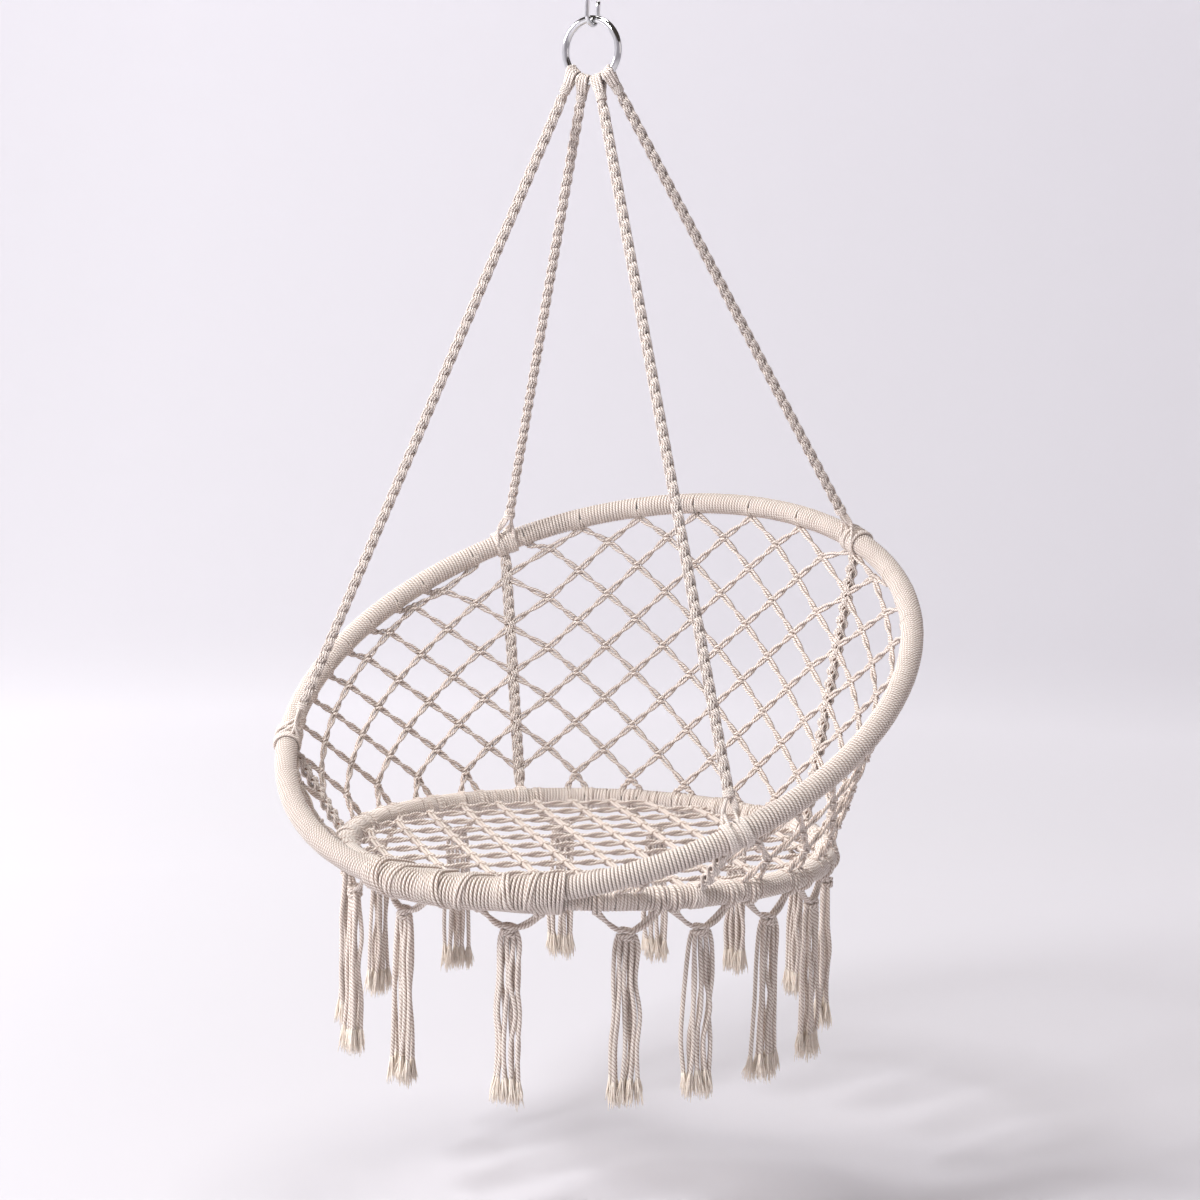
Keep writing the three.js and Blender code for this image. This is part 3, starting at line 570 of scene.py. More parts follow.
def dress(
    piece: bpy.types.Object,
    material: bpy.types.Material,
    body: Optional[Body],
    nodes: Iterable[str],
) -> bpy.types.Object:
    """Gives a piece its material, its body and the CAD nodes that it stands for.

    Args:
        piece: The object.
        material: Its material.
        body: The body that it rides on, or none for a piece that spans two and rides on neither.
        nodes: The CAD nodes that it replaces.

    Returns:
        The piece.
    """
    piece.data.materials.clear()
    piece.data.materials.append(material)
    if len(piece.data.vertices):
        piece.data.transform(Matrix.Translation(-Vector(HANGING_POINT)))
    if body is not None:
        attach(piece, body.value)
    nodes = list(nodes)
    if nodes:
        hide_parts(*nodes)
    LOG.info("%s: %d faces for %s", piece.name, len(piece.data.polygons), ", ".join(nodes) or "itself")
    return piece


@dataclass
class Hoop:
    """A round hoop, seen from the centre of the seat hoop. Its front is at 0 degrees and +X at 90."""

    radius: float
    centre: np.ndarray
    tilt: float = 0.0

    def __post_init__(self) -> None:
        """Works out the hoop's own directions."""
        # Where net is tied on: the angle along the hoop, and the one round its tube
        self.ties: list[tuple[float, float]] = []
        lean = math.radians(self.tilt)
        self.rearwards = np.array([0.0, math.cos(lean), math.sin(lean)])
        self.normal = np.cross(X_AXIS, self.rearwards)

    def outwards(self, degrees: object) -> np.ndarray:
        """Directions away from the middle."""
        angle = np.radians(np.asarray(degrees, float))[..., None]
        return np.sin(angle) * X_AXIS - np.cos(angle) * self.rearwards

    def tangent(self, degrees: object) -> np.ndarray:
        """Directions along the hoop."""
        angle = np.radians(np.asarray(degrees, float))[..., None]
        return np.cos(angle) * X_AXIS + np.sin(angle) * self.rearwards

    def point(self, degrees: object) -> np.ndarray:
        """Places on the middle of the hoop's tube."""
        return self.centre + self.radius * self.outwards(degrees)

    def skin(self, degrees: object, turn: object, reach: object) -> np.ndarray:
        """Places round the hoop's tube.

        Args:
            degrees: Where along the hoop.
            turn: The angle round the tube, in radians, from outwards towards the hoop's normal.
            reach: How far from the middle of the tube.

        Returns:
            The places.
        """
        out = self.outwards(degrees)
        turn = np.asarray(turn, float)[..., None]
        reach = np.asarray(reach, float)[..., None]
        return self.point(degrees) + reach * (np.cos(turn) * out + np.sin(turn) * self.normal)

    def angle_of(self, place: np.ndarray) -> float:
        """Where along the hoop a place is nearest to."""
        from_centre = place - self.centre
        return math.degrees(math.atan2(from_centre @ X_AXIS, -(from_centre @ self.rearwards)))

    def distance(self, place: np.ndarray) -> float:
        """How far a place is from the middle of the tube."""
        return float(np.linalg.norm(place - self.point(self.angle_of(place))))


WOUND_RADIUS = 13.5 * MM
SEAT_OUTER_RADIUS = 300 * MM
BACK_OUTER_RADIUS = 396.3 * MM
# How far the back hoop's front lies before and above the seat hoop's
FRONT_REACH = 36.6 * MM
FRONT_RISE = 6 * MM
SEAT_HOOP = Hoop(SEAT_OUTER_RADIUS - WOUND_RADIUS, np.zeros(3))
BACK_RADIUS = BACK_OUTER_RADIUS - WOUND_RADIUS
BACK_TILT = 29.8
BACK_HOOP = Hoop(
    BACK_RADIUS,
    np.array([
        0.0,
        -SEAT_HOOP.radius - FRONT_REACH + BACK_RADIUS * math.cos(math.radians(BACK_TILT)),
        FRONT_RISE + BACK_RADIUS * math.sin(math.radians(BACK_TILT)),
    ]),
    BACK_TILT,
)


# Where the front lashing starts and ends on the seat hoop, in degrees, and how far it stands out
LASHING_SPAN = (-14.5, 27.0)
LASHING_DEPTH = 5.3 * MM

# The ring, with its centre seen from the centre of the seat hoop
RING_CENTRE = np.array([0.0, -24.1, 932.7]) * MM
RING_RADIUS = 35.45 * MM
RING_WIRE = 8.6 * MM


def lashing_cover(degrees: float) -> float:
    """How thick the lashing is at an angle of the seat hoop."""
    low, high = LASHING_SPAN
    return LASHING_DEPTH if low < degrees < high else 0.0


@dataclass
class HoopWinding:
    """The cord wound round a hoop, in four quarters, each one unbroken helix."""

    name: str
    hoop: Hoop
    body: Body
    cord: float = 4.1 * MM
    pitch: float = 4.15 * MM
    steps: int = 16
    lay: float = 9 * MM
    drift: float = 0.07
    drift_turns: int = 6
    bulge: float = 0.07 * MM
    bulge_turns: int = 2
    tie_reach: float = 1.6
    tie_push: float = 0.5
    ease_turns: int = 2
    seed: int = 31
    quarters: tuple[str, ...] = ("front", "right", "rear", "left")

    def path(self, start: float, end: float, rng: np.random.Generator) -> tuple[np.ndarray, np.ndarray]:
        """The helix over a stretch of the hoop.

        Args:
            start: The stretch's first angle, in degrees.
            end: Its last.
            rng: The seeded source of chance.

        Returns:
            The path and the direction away from the tube at each point.
        """
        turns = round(self.hoop.radius * math.radians(end - start) / self.pitch)
        count = turns * self.steps + 1
        turn = np.linspace(0, turns, count)
        pitch_angle = (end - start) / turns
        angle = 2 * math.pi * turn
        drift = wander(count, self.drift_turns * self.steps, self.drift * pitch_angle, rng)
        level = start + turn * pitch_angle
        for tie, lead in self.hoop.ties:
            off = (level - tie + FULL_TURN / 2) % FULL_TURN - FULL_TURN / 2
            beside = (0.5 + 0.5 * np.cos(angle - lead)) ** 2
            near = np.exp(-np.abs(off) / (self.tie_reach * pitch_angle)) * beside
            drift += np.sign(off) * self.tie_push * pitch_angle * near
        ease = np.clip(np.minimum(turn, turns - turn) / self.ease_turns, 0, 1)
        degrees = level + drift * ease
        reach = WOUND_RADIUS - self.cord / 2 + wander(count, self.bulge_turns * self.steps, self.bulge, rng)
        path = self.hoop.skin(degrees, angle, reach)
        return path, unit(path - self.hoop.point(degrees))

    def build(self, finishes: Finishes) -> None:
        """Makes the four quarters.

        Args:
            finishes: The materials.
        """
        rng = np.random.default_rng(self.seed)
        half = FULL_TURN / len(self.quarters) / 2
        for k, quarter in enumerate(self.quarters):
            bundle = Bundle(self.lay)
            path, normal = self.path((2 * k - 1) * half, (2 * k + 1) * half, rng)
            bundle.add(path, self.cord / 2, normal)
            node = f"{self.name}_hoop_winding_{quarter}"
            dress(bundle.build(f"{node}_cord"), finishes.winding, self.body, [node])


@dataclass
class NetKnot:
    """A knot's place and directions in its net."""

    place: np.ndarray
    right: np.ndarray
    up: np.ndarray
    degrees: float = 0.0
    share: float = 0.0

    @property
    def outwards(self) -> np.ndarray:
        """The net's outer side."""
        return unit(np.cross(self.right, self.up))


@dataclass
class NetCord:
    """The cord that nets are knotted from, and the shapes that it makes."""

    diameter: float = 4.1 * MM
    lay: float = 13 * MM
    leg_steps: int = 9
    gather: float = 2.0 * MM
    eye: float = 0.35 * MM
    knot_width: float = 11.8 * MM
    knot_depth: float = 10.4 * MM
    tie_proud: float = 0.3 * MM
    tie_dive: float = 3.2 * MM
    tie_turn: float = 1.25
    tie_steps: int = 13
    tie_gap: float = 0.5
    tie_pinch: float = 0.1
    tie_girth: float = 0.42
    twist_start: float = 0.2
    twist_share: float = 0.6
    ply_shift: float = 0.37
    ply_scatter: float = 131.0
    knot_rise: float = 1.35
    knot_steps: int = 11
    knot_core: tuple[float, ...] = (0.5, 0.8, 0.75, 0.8, 0.5)
    # Each turn across a knot: how high, how wide and how slanted it is
    knot_bars: tuple[tuple[float, float, float], ...] = ((-0.55, 1.06, 0.06), (0.65, 0.92, -0.16))

    def leg(
        self, bundle: Bundle, start: np.ndarray, end: np.ndarray, outwards: np.ndarray, flip: float
    ) -> None:
        """Two cords side by side that cross over each other half way.

        Args:
            bundle: The bundle that gets them.
            start: One end's middle.
            end: The other end's middle.
            outwards: The net's outer side.
            flip: 1 or -1, for the way that they cross, or 0 for cords that stay side by side.
        """
        t = np.linspace(0, 1, self.leg_steps)[:, None]
        line = start + (end - start) * t
        side = unit(np.cross(unit(end - start), outwards))
        turn = math.pi * np.clip((t - self.twist_start) / self.twist_share, 0, 1) * flip
        spread = self.gather + self.eye * np.sin(2 * math.pi * t) ** 2
        offset = spread * (np.cos(turn) * side + np.sin(turn) * outwards)
        for sign in (-1, 1):
            shift = self.ply_shift * sign + float(start[0] * self.ply_scatter % 1)
            bundle.add(line + sign * offset, self.diameter / 2, outwards, shift)

    def knot(self, bundle: Bundle, knot: NetKnot) -> None:
        """A knot: cords gathered upright, with two turns of cord across them.

        Args:
            bundle: The bundle that gets it.
            knot: Its place and directions.
        """
        rise = self.diameter * self.knot_rise
        spine = knot.place + np.linspace(-1, 1, len(self.knot_core))[:, None] * rise * knot.up
        bundle.add(spine, self.diameter * np.array(self.knot_core), knot.outwards)
        angle = np.linspace(0, 2 * math.pi, self.knot_steps)[:, None]
        for lift, width, lean in self.knot_bars:
            ring = (
                knot.place
                + knot.up * self.diameter * (lift + lean * np.cos(angle))
                + knot.right * (width * self.knot_width - self.diameter) / 2 * np.cos(angle)
                + knot.outwards * (width * self.knot_depth - self.diameter) / 2 * np.sin(angle)
            )
            bundle.add(ring, self.diameter * 0.5, ring - knot.place - knot.up * self.diameter * lift)

    def tie(
        self, bundle: Bundle, hoop: Hoop, degrees: float, towards: np.ndarray, cover: float = 0.0
    ) -> None:
        """Two turns of cord round a hoop, proud where the leg leaves and bedded in opposite.

        Args:
            bundle: The bundle that gets them.
            hoop: The hoop.
            degrees: Where along the hoop the leg lands.
            towards: The direction in which the leg leaves.
            cover: How thick the lashing over the winding is there.
        """
        out, normal = hoop.outwards(degrees), hoop.normal
        lead = math.atan2(towards @ normal, towards @ out)
        hoop.ties.append((degrees, lead))
        turn = np.linspace(-self.tie_turn, self.tie_turn, self.tie_steps)
        reach = WOUND_RADIUS + cover + self.tie_proud - self.tie_dive * (1 - np.cos(turn))
        for sign in (-1, 1):
            gap = self.tie_gap - self.tie_pinch * np.cos(turn)
            aside = np.degrees(sign * self.diameter * gap / hoop.radius)
            path = hoop.skin(degrees + aside, turn + lead, reach)
            bundle.add(path, self.diameter * self.tie_girth, unit(path - hoop.point(degrees)))


@dataclass
class RopePlace:
    """Where a rope and its column meet the ring and the hoops."""

    name: str
    ring_angle: float
    back_angle: float
    net_index: int

    @property
    def seat_angle(self) -> float:
        """Where the column meets the seat hoop."""
        return NET_ZERO + self.net_index * NET_PITCH


NET_ZERO = 186.0
NET_PITCHES = 25
NET_PITCH = FULL_TURN / NET_PITCHES
ROPES = (
    RopePlace("front_left", -45, 297, 8),
    RopePlace("rear_left", -15.5, 227, 3),
    RopePlace("rear_right", 43, 148, -3),
    RopePlace("front_right", 15.5, 53, -9),
)


@dataclass
class Net:
    """A knotted net: its knots, the legs between them and their ties to hoops."""

    name: str
    body: Optional[Body]
    cord: NetCord = field(default_factory=NetCord)
    knots: dict = field(default_factory=dict)

    def __post_init__(self) -> None:
        """Starts the net's cords."""
        self.bundle = Bundle(self.cord.lay, sides=5)

    def leg_between(self, first: NetKnot, second: NetKnot, flip: float) -> None:
        """A leg from one knot to another.

        Args:
            first: The lower knot.
            second: The upper knot.
            flip: The way that its cords cross.
        """
        way = unit(second.place - first.place) * self.cord.diameter
        outwards = unit(first.outwards + second.outwards)
        self.cord.leg(self.bundle, first.place + way, second.place - way, outwards, flip)

    def leg_to_hoop(self, knot: NetKnot, hoop: Hoop, degrees: float, flip: float, cover: float = 0.0) -> None:
        """A leg from a knot to a hoop, with its tie.

        Args:
            knot: The knot.
            hoop: The hoop.
            degrees: Where along the hoop it lands.
            flip: The way that its cords cross.
            cover: How thick the lashing over the winding is there.
        """
        middle = hoop.point(degrees)
        towards = unit(across(knot.place - middle, hoop.tangent(degrees)))
        landing = middle + towards * (WOUND_RADIUS + cover)
        way = unit(landing - knot.place) * self.cord.diameter
        self.cord.leg(self.bundle, knot.place + way, landing, knot.outwards, flip)
        self.cord.tie(self.bundle, hoop, degrees, towards, cover)

    def build(self, finishes: Finishes, nodes: Iterable[str]) -> bpy.types.Object:
        """Makes the knots and the mesh.

        Args:
            finishes: The materials.
            nodes: The CAD nodes that it replaces.

        Returns:
            The piece.
        """
        for knot in self.knots.values():
            self.cord.knot(self.bundle, knot)
        return dress(self.bundle.build(f"{self.name}_cord"), finishes.net, self.body, nodes)


@dataclass
class SideNets:
    """The net walls between the hoops: knots on straight lines from hoop to hoop."""

    rows: int = 11
    first_row_rear: float = 24 * MM
    first_row_side: float = 38 * MM
    row_pitch_rear: float = 35.5 * MM
    row_pitch_side: float = 29.5 * MM
    rear_draw_in: float = 0.09
    settle: float = 8 * MM
    knot_room: float = 7.1 * MM
    tie_splay: float = 2.4
    column_tie_share: float = 0.95
    column_radius: float = 6 * MM
    hitch_reach: float = 5.6 * MM
    hitch_half_width: float = 11.5 * MM
    rear_sharpness: int = 4
    rounds: int = 8
    share_step: float = 0.01
    least_share: float = 0.3
    column_top: float = 0.93
    column_bury: float = 0.4
    left_edge: float = 9.75
    left_lacing: tuple[float, ...] = (9.42, 9.92, 10.42, 10.88)
    left_lacing_knot: float = 9
    right_edge: float = 14
    right_lacing: tuple[float, ...] = (14.58, 14.16)
    right_lacing_knot: float = 15

    def column_angles(self, share: float) -> list[tuple[int, float]]:
        """Net line numbers and angles of the columns at a height share.

        Args:
            share: The height share, 0 on the seat hoop and 1 on the back.

        Returns:
            The numbers and angles, in order.
        """
        found = []
        for rope in ROPES:
            near = rope.back_angle + FULL_TURN * round((rope.seat_angle - rope.back_angle) / FULL_TURN)
            found.append((rope.net_index, rope.seat_angle + (near - rope.seat_angle) * share))
        return sorted(found)

    def angle(self, index: float, share: float) -> float:
        """The angle of a net line at a height share.

        Args:
            index: The net line.
            share: The height share.

        Returns:
            The angle, in degrees.
        """
        columns = self.column_angles(share)
        columns.append((columns[0][0] + NET_PITCHES, columns[0][1] + FULL_TURN))
        upper = next((k for k, column in enumerate(columns) if column[0] >= index and k), len(columns) - 1)
        (low, low_angle), (high, high_angle) = columns[upper - 1], columns[upper]
        draw_in = 1 - self.rear_draw_in * share if low + high == 0 else 1
        middle = (low + high) / 2
        slope = (high_angle - low_angle) / (high - low)
        return (low_angle + high_angle) / 2 + (index - middle) * draw_in * slope

    def row_height(self, row: float, degrees: float) -> float:
        """The height of a row of knots.

        Args:
            row: The row, from 0.
            degrees: The angle at which it is asked.

        Returns:
            The height over the seat hoop.
        """
        weight = max(0.0, -math.cos(math.radians(degrees))) ** self.rear_sharpness
        first = self.first_row_side + (self.first_row_rear - self.first_row_side) * weight
        return first + row * (self.row_pitch_side + (self.row_pitch_rear - self.row_pitch_side) * weight)

    def spot(self, degrees: float, share: float) -> NetKnot:
        """A knot's place and directions on the wall.

        Args:
            degrees: Its angle.
            share: Its height share.

        Returns:
            The knot.
        """

        def at(angle: float) -> np.ndarray:
            """The wall's place at an angle."""
            return SEAT_HOOP.point(angle) * (1 - share) + BACK_HOOP.point(angle) * share

        up = unit(BACK_HOOP.point(degrees) - SEAT_HOOP.point(degrees))
        right = unit(across(unit(at(degrees + 1) - at(degrees - 1)), up))
        return NetKnot(at(degrees), right, up, degrees, share)

    def place(self, index: float, row: float) -> NetKnot:
        """The knot of a net line and a row.

        Args:
            index: The net line.
            row: The row.

        Returns:
            The knot.
        """
        share, degrees = 0.5, 0.0
        for _ in range(self.rounds):
            degrees = self.angle(index, min(share, 1.0))
            share = self.row_height(row, degrees) / BACK_HOOP.point(degrees)[2]
            if row == 0:
                share = min(max(share, 0.0), 0.5)
        return self.spot(degrees, share)

    def room(self, place: np.ndarray) -> float:
        """How far a place is from what stands in a knot's way.

        Args:
            place: The place.

        Returns:
            The least distance.
        """
        gaps = [SEAT_HOOP.distance(place) - WOUND_RADIUS, BACK_HOOP.distance(place) - WOUND_RADIUS]
        for rope in ROPES:
            foot, head = SEAT_HOOP.point(rope.seat_angle), BACK_HOOP.point(rope.back_angle)
            t = np.clip((place - foot) @ (head - foot) / ((head - foot) @ (head - foot)), 0, 1)
            gaps.append(float(np.linalg.norm(place - foot - t * (head - foot))) - self.column_radius)
            along = abs(float((place - head) @ BACK_HOOP.tangent(rope.back_angle))) - self.hitch_half_width
            gaps.append(max(along, BACK_HOOP.distance(place) - WOUND_RADIUS - self.hitch_reach))
        return min(gaps)

    def settled(self, knot: NetKnot) -> Optional[NetKnot]:
        """A knot moved down to a clear place under the back hoop, or none where there is no room.

        Args:
            knot: The knot where its row puts it.

        Returns:
            The knot, or none.
        """
        if knot.share > 1 or BACK_HOOP.distance(knot.place) < self.settle:
            return None
        share = knot.share
        clear = knot
        while self.room(clear.place) < self.knot_room and share > self.least_share * knot.share:
            share -= self.share_step
            clear = self.spot(knot.degrees, share)
        return clear if self.room(clear.place) >= self.knot_room else None

    def panel(self, name: str, low: float, high: float, finishes: Finishes, lacing: Callable = None) -> None:
        """Makes one panel of net, as a strip for each net line.

        Args:
            name: The CAD node that it replaces.
            low: The net line at its first edge.
            high: The net line at its last edge.
            finishes: The materials.
            lacing: Adds the zigzag cord of a front panel.
        """
        knots: dict[tuple[float, int], NetKnot] = {}
        for row in range(self.rows):
            index = low + 0.5 + (0.0 if row % 2 else 0.5)
            while index < high:
                knot = self.settled(self.place(index, row))
                if knot:
                    knots[index, row] = knot
                index += 1
        for number, line in enumerate(sorted({index for index, _ in knots}), 1):
            net = Net(f"{name}_{number}", None)
            net.knots = {key: knot for key, knot in knots.items() if key[0] == line}
            for (index, row), knot in net.knots.items():
                for aside, rise in LEG_WAYS:
                    self.join(net, knots, (index, row), aside, rise)
            self.bend(net.build(finishes, [name]), line)
        if lacing:
            net = Net(f"{name}_lacing", None)
            middle = lacing(net, knots)
            self.bend(net.build(finishes, [name]), middle)

    def bend(self, piece: bpy.types.Object, line: float) -> None:
        """Bakes a piece's placement into its mesh; the net line's ends on the hoops are worked out but not
        used.

        Args:
            piece: The piece.
            line: The net line.
        """
        start = SEAT_HOOP.point(self.angle(line, 0)) - HANGING_POINT
        end = BACK_HOOP.point(self.angle(line, 1)) - HANGING_POINT
        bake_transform(piece)

    def join(self, net: Net, knots: dict, spot: tuple[float, int], aside: float, rise: int) -> None:
        """The leg from a knot to its neighbour, a hoop or a column.

        Args:
            net: The strip that gets the leg.
            knots: All the panel's knots, by net line and row.
            spot: The knot's own net line and row.
            aside: How many net lines away the leg leads.
            rise: How many rows up it leads.
        """
        index, row = spot
        knot = knots[spot]
        other = knots.get((index + aside, row + rise))
        flip = 1.0 if aside * rise > 0 else -1.0
        if other:
            if rise > 0:
                net.leg_between(knot, other, flip)
            return
        column = next((r for r in ROPES if (index + aside - r.net_index) % NET_PITCHES == 0), None)
        if row + rise < 0:
            net.leg_to_hoop(knot, SEAT_HOOP, knot.degrees + 2 * aside * self.tie_splay, flip)
            return
        if column:
            target = self.place(index + aside, row + self.column_tie_share * rise)
            if target.share < self.column_top:
                self.leg_to_column(net, knot, target, flip)
                return
        target = self.place(index + aside, row + rise)
        net.leg_to_hoop(knot, BACK_HOOP, BACK_HOOP.angle_of(target.place), flip)

    def leg_to_column(self, net: Net, knot: NetKnot, target: NetKnot, flip: float) -> None:
        """A leg that is knotted into a column.

        Args:
            net: The strip that gets it.
            knot: The knot.
            target: Where the net would go on.
            flip: The way that its cords cross.
        """
        half = FULL_TURN / 2
        rope = min(ROPES, key=lambda r: abs((r.seat_angle - target.degrees + half) % FULL_TURN - half))
        foot, head = SEAT_HOOP.point(rope.seat_angle), BACK_HOOP.point(rope.back_angle)
        axis = unit(head - foot)
        end = foot + axis * ((target.place - foot) @ axis)
        way = unit(end - knot.place)
        start = knot.place + way * net.cord.diameter
        end = end - way * self.column_radius * self.column_bury
        net.cord.leg(net.bundle, start, end, knot.outwards, flip)

    def lacing(self, turns: tuple[float, ...], knot_index: float) -> Callable:
        """The zigzag between the hoops near the front, from a knot towards the lashing.

        Args:
            turns: The net lines where the cord turns, on the back hoop and the seat hoop by turns.
            knot_index: The net line of the knot that it starts from.

        Returns:
            A function that adds it to a net and gives the net line at its middle.
        """

        def add(net: Net, knots: dict) -> float:
            """Adds the zigzag.

            Args:
                net: The net that gets it.
                knots: The panel's knots.

            Returns:
                The net line at its middle.
            """
            knot = knots[knot_index, 0]
            previous = knot.place
            for k, index in enumerate(turns):
                hoop, other = (SEAT_HOOP, BACK_HOOP) if k % 2 else (BACK_HOOP, SEAT_HOOP)
                degrees = self.angle(index, 0)
                towards = unit(across(other.point(degrees) - hoop.point(degrees), hoop.tangent(degrees)))
                landing = hoop.point(degrees) + towards * WOUND_RADIUS
                net.cord.leg(net.bundle, previous, landing, knot.outwards, 1.0 if k % 2 else -1.0)
                net.cord.tie(net.bundle, hoop, degrees, towards)
                previous = landing
            return sum(turns) / len(turns)

        return add

    def build(self, finishes: Finishes) -> None:
        """Makes the five panels.

        Args:
            finishes: The materials.
        """
        index = {rope.name: rope.net_index for rope in ROPES}
        self.panel("side_net_rear", index["rear_right"], index["rear_left"], finishes)
        self.panel("side_net_left", index["rear_left"], index["front_left"], finishes)
        self.panel("side_net_right", index["front_right"], index["rear_right"], finishes)
        left = self.lacing(self.left_lacing, self.left_lacing_knot)
        self.panel("side_net_front_left", index["front_left"], self.left_edge, finishes, left)
        right = self.lacing(self.right_lacing, self.right_lacing_knot)
        end = index["front_right"] + NET_PITCHES
        self.panel("side_net_front_right", self.right_edge, end, finishes, right)


@dataclass
class SeatNet:
    """The flat net that the sitter sits on."""

    knot_pitch: float = 72 * MM
    row_pitch: float = 34 * MM
    knot_room: float = 7.1 * MM
    settle: float = 8 * MM

    def place(self, column: float, row: int) -> NetKnot:
        """The knot of a column and a row."""
        return NetKnot(np.array([column * self.knot_pitch, row * self.row_pitch, 0.0]), X_AXIS, Y_AXIS)

    def build(self, finishes: Finishes) -> None:
        """Makes the net.

        Args:
            finishes: The materials.
        """
        net = Net("seat_net", Body.SEAT)
        rows = math.ceil(SEAT_HOOP.radius / self.row_pitch)
        columns = math.ceil(SEAT_HOOP.radius / self.knot_pitch)
        for row in range(-rows, rows + 1):
            column = -columns + (0.5 if row % 2 else 0.0)
            while column <= columns:
                knot = self.place(column, row)
                if np.linalg.norm(knot.place) <= SEAT_HOOP.radius - self.settle:
                    least = WOUND_RADIUS + lashing_cover(SEAT_HOOP.angle_of(knot.place)) + self.knot_room
                    reach = min(np.linalg.norm(knot.place), SEAT_HOOP.radius - least)
                    knot.place = unit(knot.place) * reach
                    net.knots[column, row] = knot
                column += 1
        for (column, row), knot in net.knots.items():
            for aside, rise in LEG_WAYS:
                flip = 1.0 if aside * rise > 0 else 0.0
                other = net.knots.get((column + aside, row + rise))
                if other and rise > 0:
                    net.leg_between(knot, other, flip)
                elif not other:
                    target = self.place(column + aside, row + rise).place
                    degrees = self.landing(knot.place, target)
                    net.leg_to_hoop(knot, SEAT_HOOP, degrees, flip, lashing_cover(degrees))
        net.build(finishes, ["seat_net"])

    def landing(self, start: np.ndarray, target: np.ndarray) -> float:
        """The angle at which a leg's line meets the seat hoop.

        Args:
            start: Where the leg starts.
            target: A place that it heads for.

        Returns:
            The angle, in degrees.
        """
        way = unit(target - start)
        square = (start @ way) ** 2 - start @ start + SEAT_HOOP.radius**2
        along = -start @ way + math.sqrt(max(square, 0.0))
        return SEAT_HOOP.angle_of(start + along * way)


@dataclass
class Plait:
    """Three strands plaited flat, each a band of thin cords."""

    width: float
    depth: float
    period: float
    cord: float
    cords: int = 3
    strands: int = 3
    step: float = 3.2 * MM
    lay: float = 12 * MM
    nesting: float = 0.93
    # How thick the dark filling between the strands is: painted shade in the plait's gaps
    core: float = 0.7
    sink: float = 0.26
    taper: float = 0.15
    taper_least: float = 0.6
    plump: float = 0.8
    plump_swing: float = 0.28
    cord_shift: float = 0.29
    strand_shift: float = 0.11

    def add(self, bundle: Bundle, start: np.ndarray, end: np.ndarray, face: np.ndarray) -> None:
        """Adds the plait between two places.

        Args:
            bundle: The bundle that gets its cords.
            start: One end.
            end: The other.
            face: The direction that its flat side looks in.
        """
        length = float(np.linalg.norm(end - start))
        axis = (end - start) / length
        front = unit(across(face, axis))
        side = np.cross(axis, front)
        distance = np.linspace(0, length, max(int(length / self.step), 4))
        # A dark filling along the middle, painted shade that shows in the gaps between the strands
        bundle.add(start + distance[:, None] * axis, self.cord * self.core, front, core=True)
        swing = (self.width - self.cords * self.cord * self.nesting) / 2
        dive = (self.depth - self.cord) / 2
        for strand in range(self.strands):
            phase = 2 * math.pi * (distance / self.period + strand / self.strands)
            to_end = np.minimum(distance, length - distance)
            ends = np.clip(to_end / (self.taper * self.period), self.taper_least, 1)
            middle = (
                start
                + distance[:, None] * axis
                + (swing * np.sin(phase) * ends)[:, None] * side
                + (dive * np.sin(2 * phase) * ends)[:, None] * front
            )
            heading = unit(np.gradient(middle, axis=0))
            flat = unit(across(np.broadcast_to(front, heading.shape), heading))
            beside = np.cross(heading, flat)
            for k in range(self.cords):
                lane = k - (self.cords - 1) / 2
                offset = lane * self.cord * self.nesting
                path = middle + (offset * ends)[:, None] * beside - self.sink * self.cord * lane**2 * flat
                plump = self.plump + self.plump_swing * np.abs(np.sin(2 * phase))
                shift = self.cord_shift * k + self.strand_shift * strand
                bundle.add(path, self.cord / 2 * plump, flat, shift)


